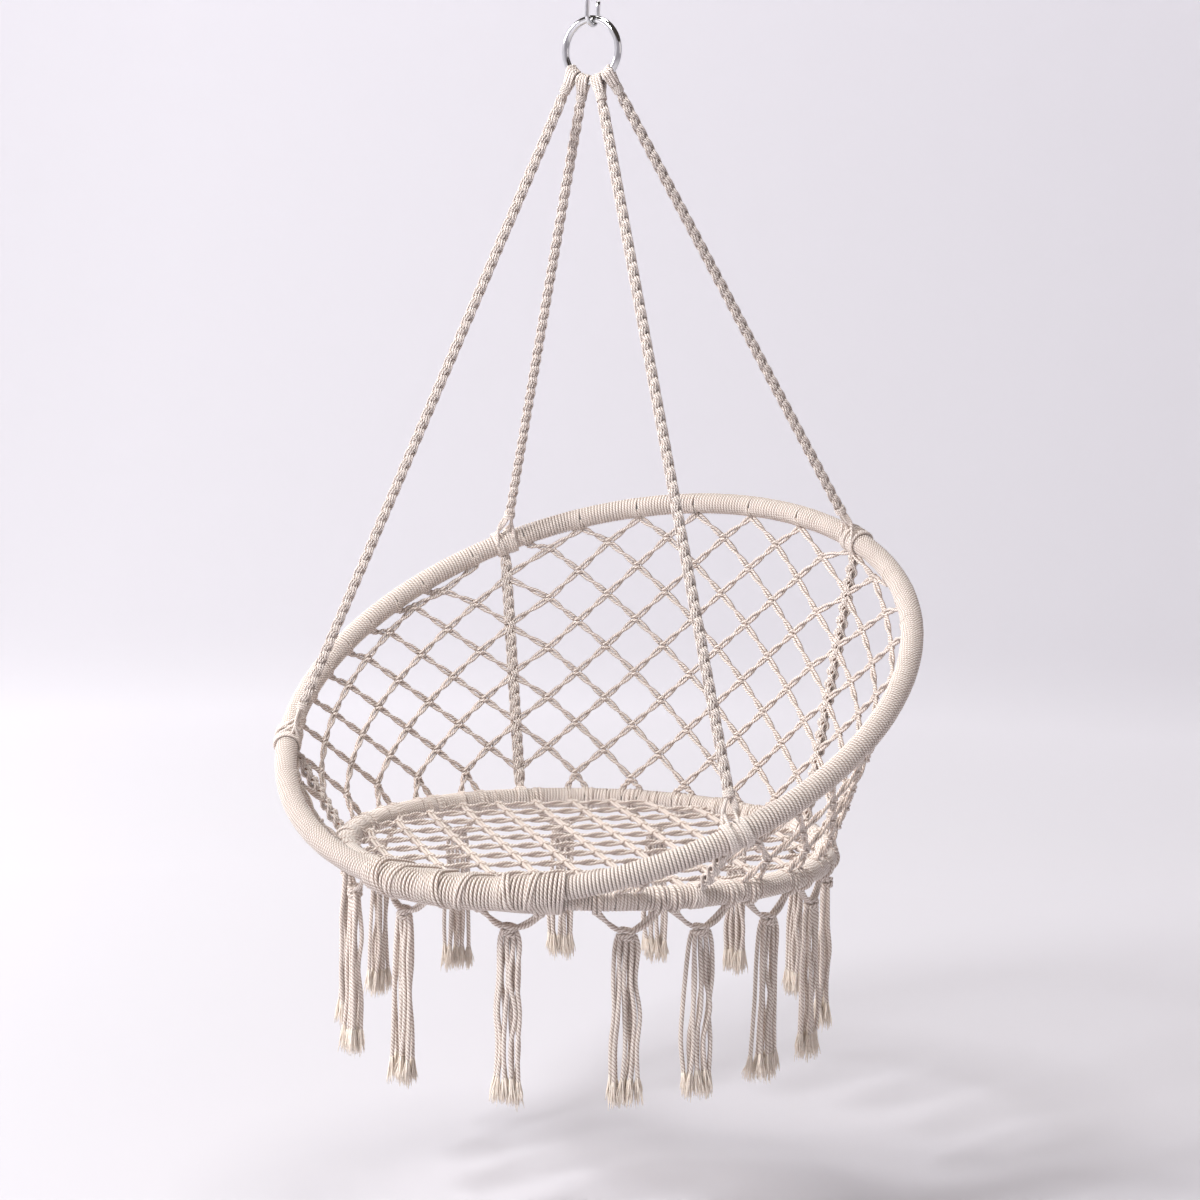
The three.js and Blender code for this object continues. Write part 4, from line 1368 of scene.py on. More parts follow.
@dataclass
class Suspension:
    """The four ropes, with their hitches on ring and hoop, and the columns below them."""

    ring_cord: float = 3.6 * MM
    ring_cord_pitch: float = 3.75 * MM
    ring_cords: int = 4
    whipping_cord: float = 2.3 * MM
    whipping_radius: float = 6.5 * MM
    whipping_drop: float = 15.5 * MM
    whipping_length: float = 11 * MM
    rope: Plait = field(
        default_factory=lambda: Plait(width=13 * MM, depth=12 * MM, period=52 * MM, cord=2.8 * MM)
    )
    column: Plait = field(
        default_factory=lambda: Plait(width=15.2 * MM, depth=12.5 * MM, period=48 * MM, cord=3.1 * MM)
    )
    hitch_cord: float = 3.8 * MM
    hitch_half_spread: float = 9 * MM
    split_height: float = 46 * MM
    rope_head: float = 3 * MM
    rope_foot: float = 4 * MM
    rope_face: np.ndarray = field(default_factory=lambda: -Y_AXIS + 0.6 * X_AXIS)
    route_points: int = 24
    hitch_lay: float = 10 * MM
    ring_gap: float = 0.2 * MM
    ring_tail: float = 2 * MM
    ring_arc_steps: int = 9
    ring_cord_steps: int = 41
    ring_shift: float = 0.23
    whipping_lay: float = 8 * MM
    whipping_steps: int = 16
    whipping_girth: float = 0.54
    whipping_core: tuple[float, ...] = (0.9, 1, 1, 0.9)
    hitch_turns: int = 3
    hitch_pitch: float = 0.85
    hitch_steps: int = 25
    hitch_shift: float = 0.2
    fork_steps: int = 17
    fork_shift: float = 0.31
    fork_fan: float = 0.9
    fork_lift: float = 0.5 * MM
    fork_bow: float = 1.6 * MM
    fork_share: float = 0.55
    crown_half: float = 2 * MM
    crown_pitch: float = 1.2 * MM
    crown_depth: float = 2.2 * MM
    crown_rise: float = 5 * MM
    collar_core: tuple[float, ...] = (0.8, 1, 1.05, 1, 0.6)
    collar_core_radius: float = 5.2 * MM
    collar_ends: tuple[float, float] = (-4 * MM, 5 * MM)
    collar_radius: float = 5.8 * MM
    collar_cord: float = 1.5 * MM
    collar_pitch: float = 2.6 * MM
    collar_steps: int = 17
    column_gap: float = 1 * MM
    column_turns: int = 4
    column_turn_pitch: float = 3.6 * MM
    foot_steps: int = 25
    foot_lift: float = 0.2 * MM
    foot_proud: float = 1.3 * MM
    foot_splay: float = 1.15
    foot_draw: float = 0.35
    foot_cord: float = 1.75 * MM

    def ring_out(self, degrees: float) -> np.ndarray:
        """The direction from the ring's centre, 0 at the bottom and positive towards +X."""
        return np.array([math.sin(math.radians(degrees)), 0.0, -math.cos(math.radians(degrees))])

    def build(self, finishes: Finishes) -> None:
        """Makes every rope's pieces.

        Args:
            finishes: The materials.
        """
        for place in ROPES:
            top = RING_CENTRE + self.ring_out(place.ring_angle) * RING_RADIUS
            foot = BACK_HOOP.point(place.back_angle)
            down = unit(foot - top)
            self.make_rope(place, top, foot, down, finishes)
            self.make_ring_hitch(place, top, down, finishes)
            self.make_whipping(place, top, down, finishes)
            self.make_hoop_hitch(place, foot, down, finishes)
            self.make_column(place, finishes)

    def make_rope(
        self, place: RopePlace, top: np.ndarray, foot: np.ndarray, down: np.ndarray, finishes: Finishes
    ) -> None:
        """The plaited rope between whipping and hoop hitch.

        Args:
            place: The rope's place.
            top: Where it starts, in the middle of the ring's wire.
            foot: Where it ends, in the middle of the back hoop.
            down: The direction from top to foot.
            finishes: The materials.
        """
        start = top + down * (self.whipping_drop + self.whipping_length - self.rope_head)
        end = foot - down * (self.split_height - self.rope_foot)
        bundle = Bundle(self.rope.lay, sides=5)
        self.rope.add(bundle, start, end, self.rope_face)
        piece = bundle.build(f"rope_{place.name}_plait")
        dress(piece, finishes.rope, Body.BACK, [f"rope_{place.name}"])
        float(np.linalg.norm(end - start))

    def make_ring_hitch(
        self, place: RopePlace, top: np.ndarray, down: np.ndarray, finishes: Finishes
    ) -> None:
        """Cords over the ring's wire, gathered into the whipping.

        Args:
            place: The rope's place.
            top: Where it starts, in the middle of the ring's wire.
            down: The rope's direction.
            finishes: The materials.
        """
        bundle = Bundle(self.hitch_lay)
        reach = (RING_WIRE + self.ring_cord) / 2 + self.ring_gap
        gather = self.whipping_radius - self.ring_cord / 2
        end = top + down * (self.whipping_drop + self.ring_tail)
        for k in range(self.ring_cords):
            offset = (k - (self.ring_cords - 1) / 2) * self.ring_cord_pitch
            out = self.ring_out(place.ring_angle + math.degrees(offset / RING_RADIUS))
            centre = RING_CENTRE + out * RING_RADIUS
            along = np.cross(out, Y_AXIS)
            below = unit(across(down, along))
            beside = np.cross(along, below)
            turn = np.linspace(0, math.pi, self.ring_arc_steps)[:, None]
            arc = centre - reach * (np.cos(turn) * beside + np.sin(turn) * below)
            spread = (k + 0.5) / self.ring_cords * math.pi
            legs = [
                end + sign * gather * math.sin(spread) * beside - gather * math.cos(spread) * along
                for sign in (-1, 1)
            ]
            path = smooth_path(np.vstack([legs[0], arc, legs[1]]), self.ring_cord_steps)
            bundle.add(path, self.ring_cord / 2, path - centre, self.ring_shift * k)
        piece = bundle.build(f"ring_hitch_{place.name}_cord")
        dress(piece, finishes.rope, Body.BACK, [f"ring_hitch_{place.name}"])

    def make_whipping(self, place: RopePlace, top: np.ndarray, down: np.ndarray, finishes: Finishes) -> None:
        """The tight turns that bind a rope's head.

        Args:
            place: The rope's place.
            top: Where it starts, in the middle of the ring's wire.
            down: The rope's direction.
            finishes: The materials.
        """
        bundle = Bundle(self.whipping_lay)
        turns = round(self.whipping_length / self.whipping_cord)
        angle = np.linspace(0, 2 * math.pi * turns, self.whipping_steps * turns + 1)
        side = unit(across(Y_AXIS, down))
        other = np.cross(down, side)
        edge = self.whipping_cord / 2
        reach = self.whipping_radius - edge
        spin = np.cos(angle)[:, None] * side + np.sin(angle)[:, None] * other
        rise = np.linspace(edge, self.whipping_length - edge, len(angle))[:, None]
        path = top + down * (self.whipping_drop + rise) + reach * spin
        bundle.add(path, self.whipping_cord * self.whipping_girth, spin)
        depth = np.linspace(0, self.whipping_length, len(self.whipping_core))[:, None]
        spine = top + down * (self.whipping_drop + depth)
        bundle.add(spine, reach * np.array(self.whipping_core), side)
        piece = bundle.build(f"whipping_{place.name}_cord")
        dress(piece, finishes.binding, Body.BACK, [f"whipping_{place.name}"])

    def make_hoop_hitch(
        self, place: RopePlace, foot: np.ndarray, down: np.ndarray, finishes: Finishes
    ) -> None:
        """Turns round the hoop and the fork of cords above them.

        Args:
            place: The rope's place.
            foot: Where it ends, in the middle of the back hoop.
            down: The rope's direction.
            finishes: The materials.
        """
        bundle = Bundle(self.hitch_lay)
        split = foot - down * self.split_height
        tangent = BACK_HOOP.tangent(place.back_angle)
        depth = np.cross(down, tangent)
        lead = unit(across(-down, tangent))
        start = math.atan2(lead @ BACK_HOOP.normal, lead @ BACK_HOOP.outwards(place.back_angle))
        turn = start + np.linspace(-math.pi, math.pi, self.hitch_steps)
        radius = self.hitch_cord / 2
        reach = WOUND_RADIUS + radius
        for sign in (-1, 1):
            for k in range(self.hitch_turns):
                lane = k - (self.hitch_turns - 1) / 2
                aside = sign * (self.hitch_half_spread + lane * self.hitch_cord * self.hitch_pitch)
                degrees = place.back_angle + math.degrees(aside / BACK_HOOP.radius)
                ring = BACK_HOOP.skin(degrees, turn, reach)
                bundle.add(ring, radius, ring - BACK_HOOP.point(degrees), self.hitch_shift * k)
                landing = BACK_HOOP.skin(degrees, start, reach)
                flare = BACK_HOOP.skin(degrees, start + self.fork_fan * lane, reach + self.fork_lift)
                crown = split + tangent * (sign * self.crown_half + lane * self.crown_pitch)
                crown = crown + depth * lane * self.crown_depth
                middle = crown * (1 - self.fork_share) + landing * self.fork_share
                middle = middle + sign * tangent * self.fork_bow
                points = np.vstack([crown - down * self.crown_rise, crown, middle, flare])
                bundle.add(smooth_path(points, self.fork_steps), radius, depth, self.fork_shift * k)
        collar = split + down * np.linspace(*self.collar_ends, len(self.collar_core))[:, None]
        bundle.add(collar, self.collar_core_radius * np.array(self.collar_core), tangent)
        for step in (-1, 0, 1):
            centre = split + down * step * self.collar_pitch
            ring = self.loop(centre, down, self.collar_radius)
            bundle.add(ring, self.collar_cord, ring - centre)
        piece = bundle.build(f"hoop_hitch_{place.name}_cord")
        dress(piece, finishes.rope, Body.BACK, [f"hoop_hitch_{place.name}"])

    def loop(self, centre: np.ndarray, axis: np.ndarray, radius: float) -> np.ndarray:
        """A closed ring of points square to an axis.

        Args:
            centre: Its centre.
            axis: Its axis.
            radius: Its radius.

        Returns:
            The points, of which the last is the first.
        """
        side = unit(across(X_AXIS + 0.3 * Y_AXIS, axis))
        other = np.cross(axis, side)
        angle = np.linspace(0, 2 * math.pi, self.collar_steps)[:, None]
        return centre + radius * (np.cos(angle) * side + np.sin(angle) * other)

    def make_column(self, place: RopePlace, finishes: Finishes) -> None:
        """The plaited band between the hoops, splayed round the seat hoop at its foot.

        Args:
            place: The rope's place.
            finishes: The materials.
        """
        bundle = Bundle(self.column.lay, sides=5)
        head, foot = BACK_HOOP.point(place.back_angle), SEAT_HOOP.point(place.seat_angle)
        axis = unit(foot - head)
        face = np.cross(BACK_HOOP.tangent(place.back_angle), axis)
        start = head + axis * (WOUND_RADIUS + self.column_gap)
        end = foot - axis * (WOUND_RADIUS + self.column_gap)
        self.column.add(bundle, start, end, face)
        for degrees, hoop, towards in (
            (place.seat_angle, SEAT_HOOP, -axis),
            (place.back_angle, BACK_HOOP, axis),
        ):
            for k in range(self.column_turns):
                aside = (k - (self.column_turns - 1) / 2) * self.column_turn_pitch
                self.foot_turn(bundle, hoop, degrees, aside, towards)
        piece = bundle.build(f"column_{place.name}_plait")
        dress(piece, finishes.rope, None, [f"column_{place.name}"])
        tuple(foot - HANGING_POINT)
        tuple(head - HANGING_POINT)
        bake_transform(piece)

    def foot_turn(
        self, bundle: Bundle, hoop: Hoop, degrees: float, aside: float, towards: np.ndarray
    ) -> None:
        """One turn of a column's cord round a hoop, proud where the column stands.

        Args:
            bundle: The bundle that gets it.
            hoop: The hoop.
            degrees: Where along the hoop the column stands.
            aside: How far beside that the turn lies.
            towards: The direction in which the column leaves the hoop.
        """
        out = hoop.outwards(degrees)
        lead = math.atan2(towards @ hoop.normal, towards @ out)
        turn = np.linspace(0, 2 * math.pi, self.foot_steps)
        proud = np.cos(turn - lead)
        reach = WOUND_RADIUS + self.foot_lift + self.foot_proud * proud
        spread = degrees + np.degrees(aside * (self.foot_splay - self.foot_draw * proud) / hoop.radius)
        path = hoop.skin(spread, turn, reach)
        bundle.add(path, self.foot_cord, path - hoop.point(spread))


@dataclass
class Lashing:
    """The cord lashed round both hoops where they meet at the front."""

    start: float = LASHING_SPAN[0]
    end: float = LASHING_SPAN[1]
    seat_segments: int = 28
    back_segments: int = 32
    cord: float = 3.9 * MM
    pitch: float = 3.75 * MM
    cover: float = 1.5 * MM
    steps: int = 28
    panels: int = 7
    lay: float = 13 * MM
    middle_reach: float = 18 * MM
    seed: int = 41
    slant: float = 0.25
    slant_rate: float = 0.9
    drift: float = 0.05
    drift_step: int = 40
    lift: float = 0.2 * MM
    lift_step: int = 60
    crossings: tuple[float, ...] = (-12.3, -6.95, 1.2, 7.95, 15.0, 21.55)
    crossing_lanes: int = 2
    crossing_pitch: float = 0.85
    crossing_ends: tuple[float, float] = (0.45, 1.2)
    crossing_middle: float = 0.8
    crossing_lean: float = 6.5
    crossing_steps: int = 33
    crossing_start: float = 0.35
    crossing_rise: float = 0.85
    crossing_power: float = 0.4
    skin_step: float = 1 * MM

    def section(self, degrees: np.ndarray, share: np.ndarray, cover: object) -> np.ndarray:
        """Places round the pair of hoops.

        Args:
            degrees: Where along the seat hoop.
            share: How far round the pair, from 0 to 1, starting at the top over the seat hoop.
            cover: How far above the windings.

        Returns:
            The places.
        """
        seat = SEAT_HOOP.point(degrees)
        back = BACK_HOOP.point(degrees * self.seat_segments / self.back_segments)
        inwards = unit(seat - back)
        tangent = unit(SEAT_HOOP.tangent(degrees))
        up = unit(np.cross(tangent, inwards))
        up = up * np.sign(up[..., 2:3])
        radius = (WOUND_RADIUS + np.asarray(cover, float) + np.zeros(np.shape(degrees)))[..., None]
        gap = np.linalg.norm(seat - back, axis=-1, keepdims=True)
        whole = 2 * math.pi * radius + 2 * gap
        walk = (share[..., None] % 1.0) * whole
        half = math.pi * radius
        over = np.clip(walk, 0, half)
        under = np.clip(walk - half, 0, gap)
        round_back = np.clip(walk - half - gap, 0, half)
        home = np.clip(walk - 2 * half - gap, 0, gap)
        angle = over / radius + round_back / radius
        centre = seat + (back - seat) * ((under - home) / gap)
        return centre + radius * (np.sin(angle) * inwards + np.cos(angle) * up)

    def build(self, finishes: Finishes) -> None:
        """Makes the turns and the cords that cross them, in panels.

        Args:
            finishes: The materials.
        """
        rng = np.random.default_rng(self.seed)
        sweep = math.radians(self.end - self.start)
        turns = round((SEAT_HOOP.radius + self.middle_reach) * sweep / self.pitch)
        count = turns * self.steps + 1
        turn = np.linspace(0, turns, count)
        degrees = self.start + (self.end - self.start) * turn / turns
        slant = self.slant * np.cos(2 * math.pi * (turn - 0.25)) * np.sin(self.slant_rate * degrees)
        drift = wander(count, self.drift_step, self.drift, rng)
        degrees = np.clip(degrees + slant + drift, self.start, self.end)
        cover = self.cover + self.cord / 2 + wander(count, self.lift_step, self.lift, rng)
        path = self.section(degrees, turn, cover)
        inner = self.section(degrees, turn, cover - self.skin_step)
        normal = unit(path - inner)
        cuts = [round(turns * k / self.panels) * self.steps for k in range(self.panels + 1)]
        edges = np.linspace(self.start, self.end, self.panels + 1)
        for panel in range(self.panels):
            bundle = Bundle(self.lay)
            stretch = slice(cuts[panel], cuts[panel + 1] + 1)
            bundle.add(path[stretch], self.cord / 2, normal[stretch])
            for k, place in enumerate(self.crossings):
                if edges[panel] <= place < edges[panel + 1]:
                    for lane in range(self.crossing_lanes):
                        self.crossing(bundle, place + self.crossing_pitch * lane, 1 if k % 2 else -1)
            piece = bundle.build(f"front_lashing_cord_{panel + 1}")
            dress(piece, finishes.net, None, ["front_lashing"])
            middle = (edges[panel] + edges[panel + 1]) / 2
            foot = SEAT_HOOP.point(middle) - HANGING_POINT
            head = BACK_HOOP.point(middle * self.seat_segments / self.back_segments) - HANGING_POINT
            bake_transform(piece)

    def crossing(self, bundle: Bundle, place: float, lean: int) -> None:
        """A cord that runs slantwise over the turns, round the front and under.

        Args:
            bundle: The bundle that gets it.
            place: Where along the seat hoop it crosses, in degrees.
            lean: 1 or -1, for the side that it leans to.
        """
        share = np.linspace(*self.crossing_ends, self.crossing_steps)
        degrees = place + lean * self.crossing_lean * (share - self.crossing_middle)
        arch = np.sin(np.linspace(0, math.pi, self.crossing_steps)) ** self.crossing_power
        lift = self.cover + self.cord * (self.crossing_start + self.crossing_rise * arch)
        path = self.section(degrees, share, lift)
        bundle.add(path, self.cord / 2, unit(path - self.section(degrees, share, lift - self.skin_step)))


@dataclass
class Tassels:
    """The tassels under the seat hoop."""

    angles: tuple[float, ...] = (
        14.75, 40.75, 58, 77.5, 97, 120, 146, 169.25, 193.25, 218, 247, 275.5, 300, 322, 346.25,
    )
    half_spread: float = 34 * MM
    drop: float = 19 * MM
    cord: float = 5.1 * MM
    strands: int = 8
    half_width: float = 12.8 * MM
    half_depth: float = 2.9 * MM
    knot_width: float = 20.5 * MM
    tip_drop: float = 222 * MM
    tip_swing: float = 14 * MM
    fray: float = 29 * MM
    fibres: int = 26
    lay: float = 13 * MM
    fringe_lay: float = 20 * MM
    seed: int = 500
    lane_spread: float = 0.55
    loop_steps: int = 23
    loop_lift: float = 0.05
    loop_swing: float = 0.3
    loop_girth: float = 0.46
    leg_lift: float = 0.2
    leg_steps: int = 11
    leg_aside: float = 0.28
    leg_end: float = 4 * MM
    leg_sag: float = 2.5 * MM
    leg_sag_lane: float = 1.5 * MM
    leg_shift: float = 0.21
    # Each turn of the gathering knot: how low, how slanted and how wide it is
    knot_turns: tuple[tuple[float, float, float], ...] = (
        (2.2 * MM, 0.5, 0.92), (6.6 * MM, -0.7, 1.0), (10.4 * MM, 0.4, 0.98),
    )
    knot_slant: float = 2.4 * MM
    knot_steps: int = 25
    knot_depth: float = 0.8
    knot_girth: float = 0.48
    knot_ends: tuple[float, float] = (0.5 * MM, 12 * MM)
    knot_core: tuple[float, ...] = (0.7, 1.1, 1.2, 1.2, 0.9)
    knot_core_radius: float = 5.2 * MM
    strand_top: float = 7 * MM
    strand_gather: float = 0.72
    strand_gather_depth: float = 0.8
    strand_shoulder: float = 16 * MM
    strand_flare: float = 1.12
    strand_flare_depth: float = 1.6
    strand_steps: int = 52
    length_spread: float = 2.2 * MM
    tip_spread: tuple[float, float] = (1.3 * MM, 1.5 * MM)
    hang_spread: tuple[float, float] = (2.0 * MM, 1.5 * MM)
    hang_shares: tuple[float, ...] = (0.25, 0.5, 0.75)
    spiral: float = 2.4
    spiral_spread: float = 0.3
    fray_share: float = 0.46
    fray_lengths: tuple[float, float] = (0.6, 1.08)
    fray_flares: tuple[float, float] = (1.5, 3.0)
    fray_curl: float = 1.3 * MM
    fray_root: float = 3 * MM
    fray_steps: int = 6
    fibre_radius: float = 0.75 * MM
    fibre_taper: tuple[float, ...] = (0.9, 1, 1, 0.9, 0.7, 0.3)

    def build(self, finishes: Finishes) -> None:
        """Makes every tassel.

        Args:
            finishes: The materials.
        """
        for k, degrees in enumerate(self.angles):
            rng = np.random.default_rng(self.seed + k)
            name = f"tassel_{k + 1:02d}"
            cords, fringe = Bundle(self.lay), Bundle(self.fringe_lay, sides=3)
            self.make_legs(cords, degrees)
            self.make_strands(cords, fringe, degrees, rng)
            dress(cords.build(f"{name}_cords"), finishes.tassel, Body.SEAT, [name])
            dress(fringe.build(f"{name}_fringe"), finishes.fringe, Body.SEAT, [])

    def make_legs(self, bundle: Bundle, degrees: float) -> None:
        """Two pairs of cords from the hoop to the gathering knot.

        Args:
            bundle: The bundle that gets them.
            degrees: The tassel's place along the seat hoop.
        """
        middle, out = SEAT_HOOP.point(degrees), SEAT_HOOP.outwards(degrees)
        tangent = SEAT_HOOP.tangent(degrees)
        knot = middle - Z_AXIS * (WOUND_RADIUS + self.drop)
        signed = degrees - FULL_TURN if degrees > FULL_TURN / 2 else degrees
        turn = -math.pi / 2 + np.linspace(-math.pi, math.pi, self.loop_steps)
        proud = self.loop_lift + self.loop_swing * np.cos(turn + math.pi / 2)
        for sign in (-1, 1):
            turned = signed + math.degrees(sign * self.half_spread / SEAT_HOOP.radius)
            wound = WOUND_RADIUS + lashing_cover(turned)
            for lane in (-1, 1):
                at = turned + math.degrees(lane * self.cord * self.lane_spread / SEAT_HOOP.radius)
                loop = SEAT_HOOP.skin(at, turn, wound + self.cord * proud)
                bundle.add(loop, self.cord * self.loop_girth, loop - SEAT_HOOP.point(at))
                seat = SEAT_HOOP.point(at) - Z_AXIS * (wound + self.cord * self.leg_lift)
                end = knot + tangent * sign * self.knot_width * self.leg_aside
                end = end + out * lane * self.cord / 2 - Z_AXIS * self.leg_end
                sag = (seat + end) / 2 - Z_AXIS * (self.leg_sag + self.leg_sag_lane * lane)
                path = smooth_path(np.vstack([seat, sag, end]), self.leg_steps)
                bundle.add(path, self.cord / 2, out, self.leg_shift * lane)
        self.make_knot(bundle, knot, tangent, out)

    def make_knot(self, bundle: Bundle, top: np.ndarray, tangent: np.ndarray, out: np.ndarray) -> None:
        """The gathering knot: three slightly slanted turns round a core.

        Args:
            bundle: The bundle that gets it.
            top: The middle of its upper end.
            tangent: The direction along the hoop.
            out: The direction away from the chair.
        """
        angle = np.linspace(0, 2 * math.pi, self.knot_steps)[:, None]
        for drop, lean, width in self.knot_turns:
            centre = top - Z_AXIS * drop
            ring = (
                centre
                - Z_AXIS * lean * self.knot_slant * np.cos(angle)
                + tangent * (self.knot_width * width - self.cord) / 2 * np.cos(angle)
                + out * (self.half_depth + self.cord * self.knot_depth) * np.sin(angle)
            )
            bundle.add(ring, self.cord * self.knot_girth, ring - centre)
        core = top - Z_AXIS * np.linspace(*self.knot_ends, len(self.knot_core))[:, None]
        bundle.add(core, self.knot_core_radius * np.array(self.knot_core), tangent)

    def make_strands(
        self, cords: Bundle, fringe: Bundle, degrees: float, rng: np.random.Generator
    ) -> None:
        """The hanging cords and their frayed tips.

        Args:
            cords: The bundle that gets the cords.
            fringe: The bundle that gets the fibres.
            degrees: The tassel's place along the seat hoop.
            rng: The seeded source of chance.
        """
        middle, out = SEAT_HOOP.point(degrees), SEAT_HOOP.outwards(degrees)
        tangent = SEAT_HOOP.tangent(degrees)
        top = middle - Z_AXIS * (WOUND_RADIUS + self.drop + self.strand_top)
        tips = self.tip_drop + self.tip_swing * math.cos(math.radians(degrees)) - self.fray
        for k in range(self.strands):
            aside = (k - (self.strands - 1) / 2) / ((self.strands - 1) / 2) * self.half_width
            depth = self.half_depth * (1 if k % 2 else -1)
            length = tips + rng.normal(0, self.length_spread)
            start = top + tangent * aside * self.strand_gather + out * depth * self.strand_gather_depth
            shoulder = top - Z_AXIS * self.strand_shoulder + tangent * aside + out * depth
            tip = middle - Z_AXIS * length
            tip = tip + tangent * (aside * self.strand_flare + rng.normal(0, self.tip_spread[0]))
            tip = tip + out * (depth * self.strand_flare_depth + rng.normal(0, self.tip_spread[1]))
            hang = []
            for share in self.hang_shares:
                sway = tangent * rng.normal(0, self.hang_spread[0]) + out * rng.normal(0, self.hang_spread[1])
                hang.append(shoulder * (1 - share) + tip * share + sway)
            path = smooth_path(np.vstack([start, shoulder, *hang, tip]), self.strand_steps)
            cords.add(path, self.cord / 2, out, rng.random())
            self.make_fray(fringe, path[-1], unit(path[-1] - path[-4]), rng)

    def make_fray(self, fringe: Bundle, tip: np.ndarray, down: np.ndarray, rng: np.random.Generator) -> None:
        """The loose fibres at one cord's end.

        Args:
            fringe: The bundle that gets them.
            tip: The cord's end.
            down: The direction that it points in.
            rng: The seeded source of chance.
        """
        side = unit(across(X_AXIS, down))
        other = np.cross(down, side)
        for k in range(self.fibres):
            angle = k * self.spiral + rng.normal(0, self.spiral_spread)
            spoke = math.cos(angle) * side + math.sin(angle) * other
            reach = math.sqrt((k + 0.5) / self.fibres) * self.cord * self.fray_share
            length = self.fray * rng.uniform(*self.fray_lengths)
            flare = reach * rng.uniform(*self.fray_flares)
            curl = rng.normal(0, self.fray_curl, 3)
            points = np.vstack([
                tip - down * self.fray_root + spoke * reach * 0.8,
                tip + down * length * 0.35 + spoke * (reach + flare) * 0.5,
                tip + down * length * 0.7 + spoke * flare + curl * 0.5,
                tip + down * length + spoke * flare * 1.05 + curl,
            ])
            path = smooth_path(points, self.fray_steps)
            fringe.add(path, self.fibre_radius * np.array(self.fibre_taper), side)


@dataclass
class Hardware:
    """The chromed ring and the wire hook."""

    hook_wire: float = 5 * MM
    bow_radius: float = 12 * MM
    bow_spacing: float = 48 * MM
    tip_length: float = 16 * MM
    wire_sides: int = 20
    ring_steps: int = 96
    hook_gap: float = 0.3 * MM
    hook_sides: int = 14
    bow_steps: int = 19
    shank_steps: int = 17
    tip_taper: float = 0.7
    lower_tip: tuple[float, ...] = (1.0, 0.97, 0.6, 0.3)
    shank_start: tuple[float, ...] = (0.35, 0.7)
    upper_tip: tuple[float, ...] = (0.2, 0.47, 0.5)

    def build(self, finishes: Finishes) -> None:
        """Makes both pieces, and gives the hidden tubes their steel.

        Args:
            finishes: The materials.
        """
        ring = self.make_ring()
        dress(ring, finishes.chrome, Body.RING, ["suspension_ring"])
        hook = self.make_hook()
        dress(hook, finishes.chrome, Body.HOOK, ["hanging_hook"])
        for node in ("seat_hoop_tube", "back_hoop_tube"):
            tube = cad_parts[node]
            tube.data.materials.clear()
            tube.data.materials.append(finishes.steel)

    def make_ring(self) -> bpy.types.Object:
        """A circle of wire spun round the ring's centre.

        Returns:
            The ring.
        """
        body = bmesh.new()
        place = Matrix.Translation(Vector(RING_CENTRE + X_AXIS * RING_RADIUS))
        bmesh.ops.create_circle(body, segments=self.wire_sides, radius=RING_WIRE / 2, matrix=place)
        bmesh.ops.spin(
            body,
            geom=list(body.verts) + list(body.edges),
            cent=Vector(RING_CENTRE),
            axis=Vector(Y_AXIS),
            angle=2 * math.pi,
            steps=self.ring_steps,
            use_merge=True,
        )
        return finished(body, "suspension_ring_wire")

    def make_hook(self) -> bpy.types.Object:
        """The bent wire: a tip, the lower bow, the shank, the upper bow and its tip.

        Returns:
            The hook.
        """
        inside = RING_RADIUS - RING_WIRE / 2 - self.hook_gap - self.hook_wire / 2
        top = RING_CENTRE + Z_AXIS * (inside + self.bow_radius)
        upper = top + Z_AXIS * self.bow_spacing
        bow = np.radians(np.linspace(0, 180, self.bow_steps))[:, None]
        lower_bow = top + self.bow_radius * (np.cos(bow) * Y_AXIS - np.sin(bow) * Z_AXIS)
        upper_bow = upper + self.bow_radius * (np.cos(bow) * Y_AXIS + np.sin(bow) * Z_AXIS)
        side = self.bow_radius * Y_AXIS
        pull = self.tip_length * Z_AXIS
        low, high = top - side + pull, upper + side
        t = np.linspace(0, 1, self.shank_steps)[:, None]
        shank = (1 - t) ** 3 * low + 3 * (1 - t) ** 2 * t * (low + pull)
        shank = shank + 3 * (1 - t) * t**2 * (high - pull) + t**3 * high
        path = np.vstack([
            top + side + pull * np.array(self.lower_tip)[:, None],
            lower_bow,
            top - side + pull * np.array(self.shank_start)[:, None],
            shank,
            upper_bow[1:],
            upper - side - pull * np.array(self.upper_tip)[:, None],
        ])
        radius = np.full(len(path), self.hook_wire / 2)
        radius[[0, -1]] *= self.tip_taper
        bundle = Bundle(1.0, self.hook_sides)
        bundle.add(path, radius, X_AXIS)
        return bundle.build("hanging_hook_wire")


@dataclass(frozen=True)
class Lamp:
    """A square soft light: its place, the length of its side, its power and its colour."""

    name: str
    place: tuple[float, float, float]
    size: float
    power: float
    colour: Colour = (1.0, 1.0, 1.0)


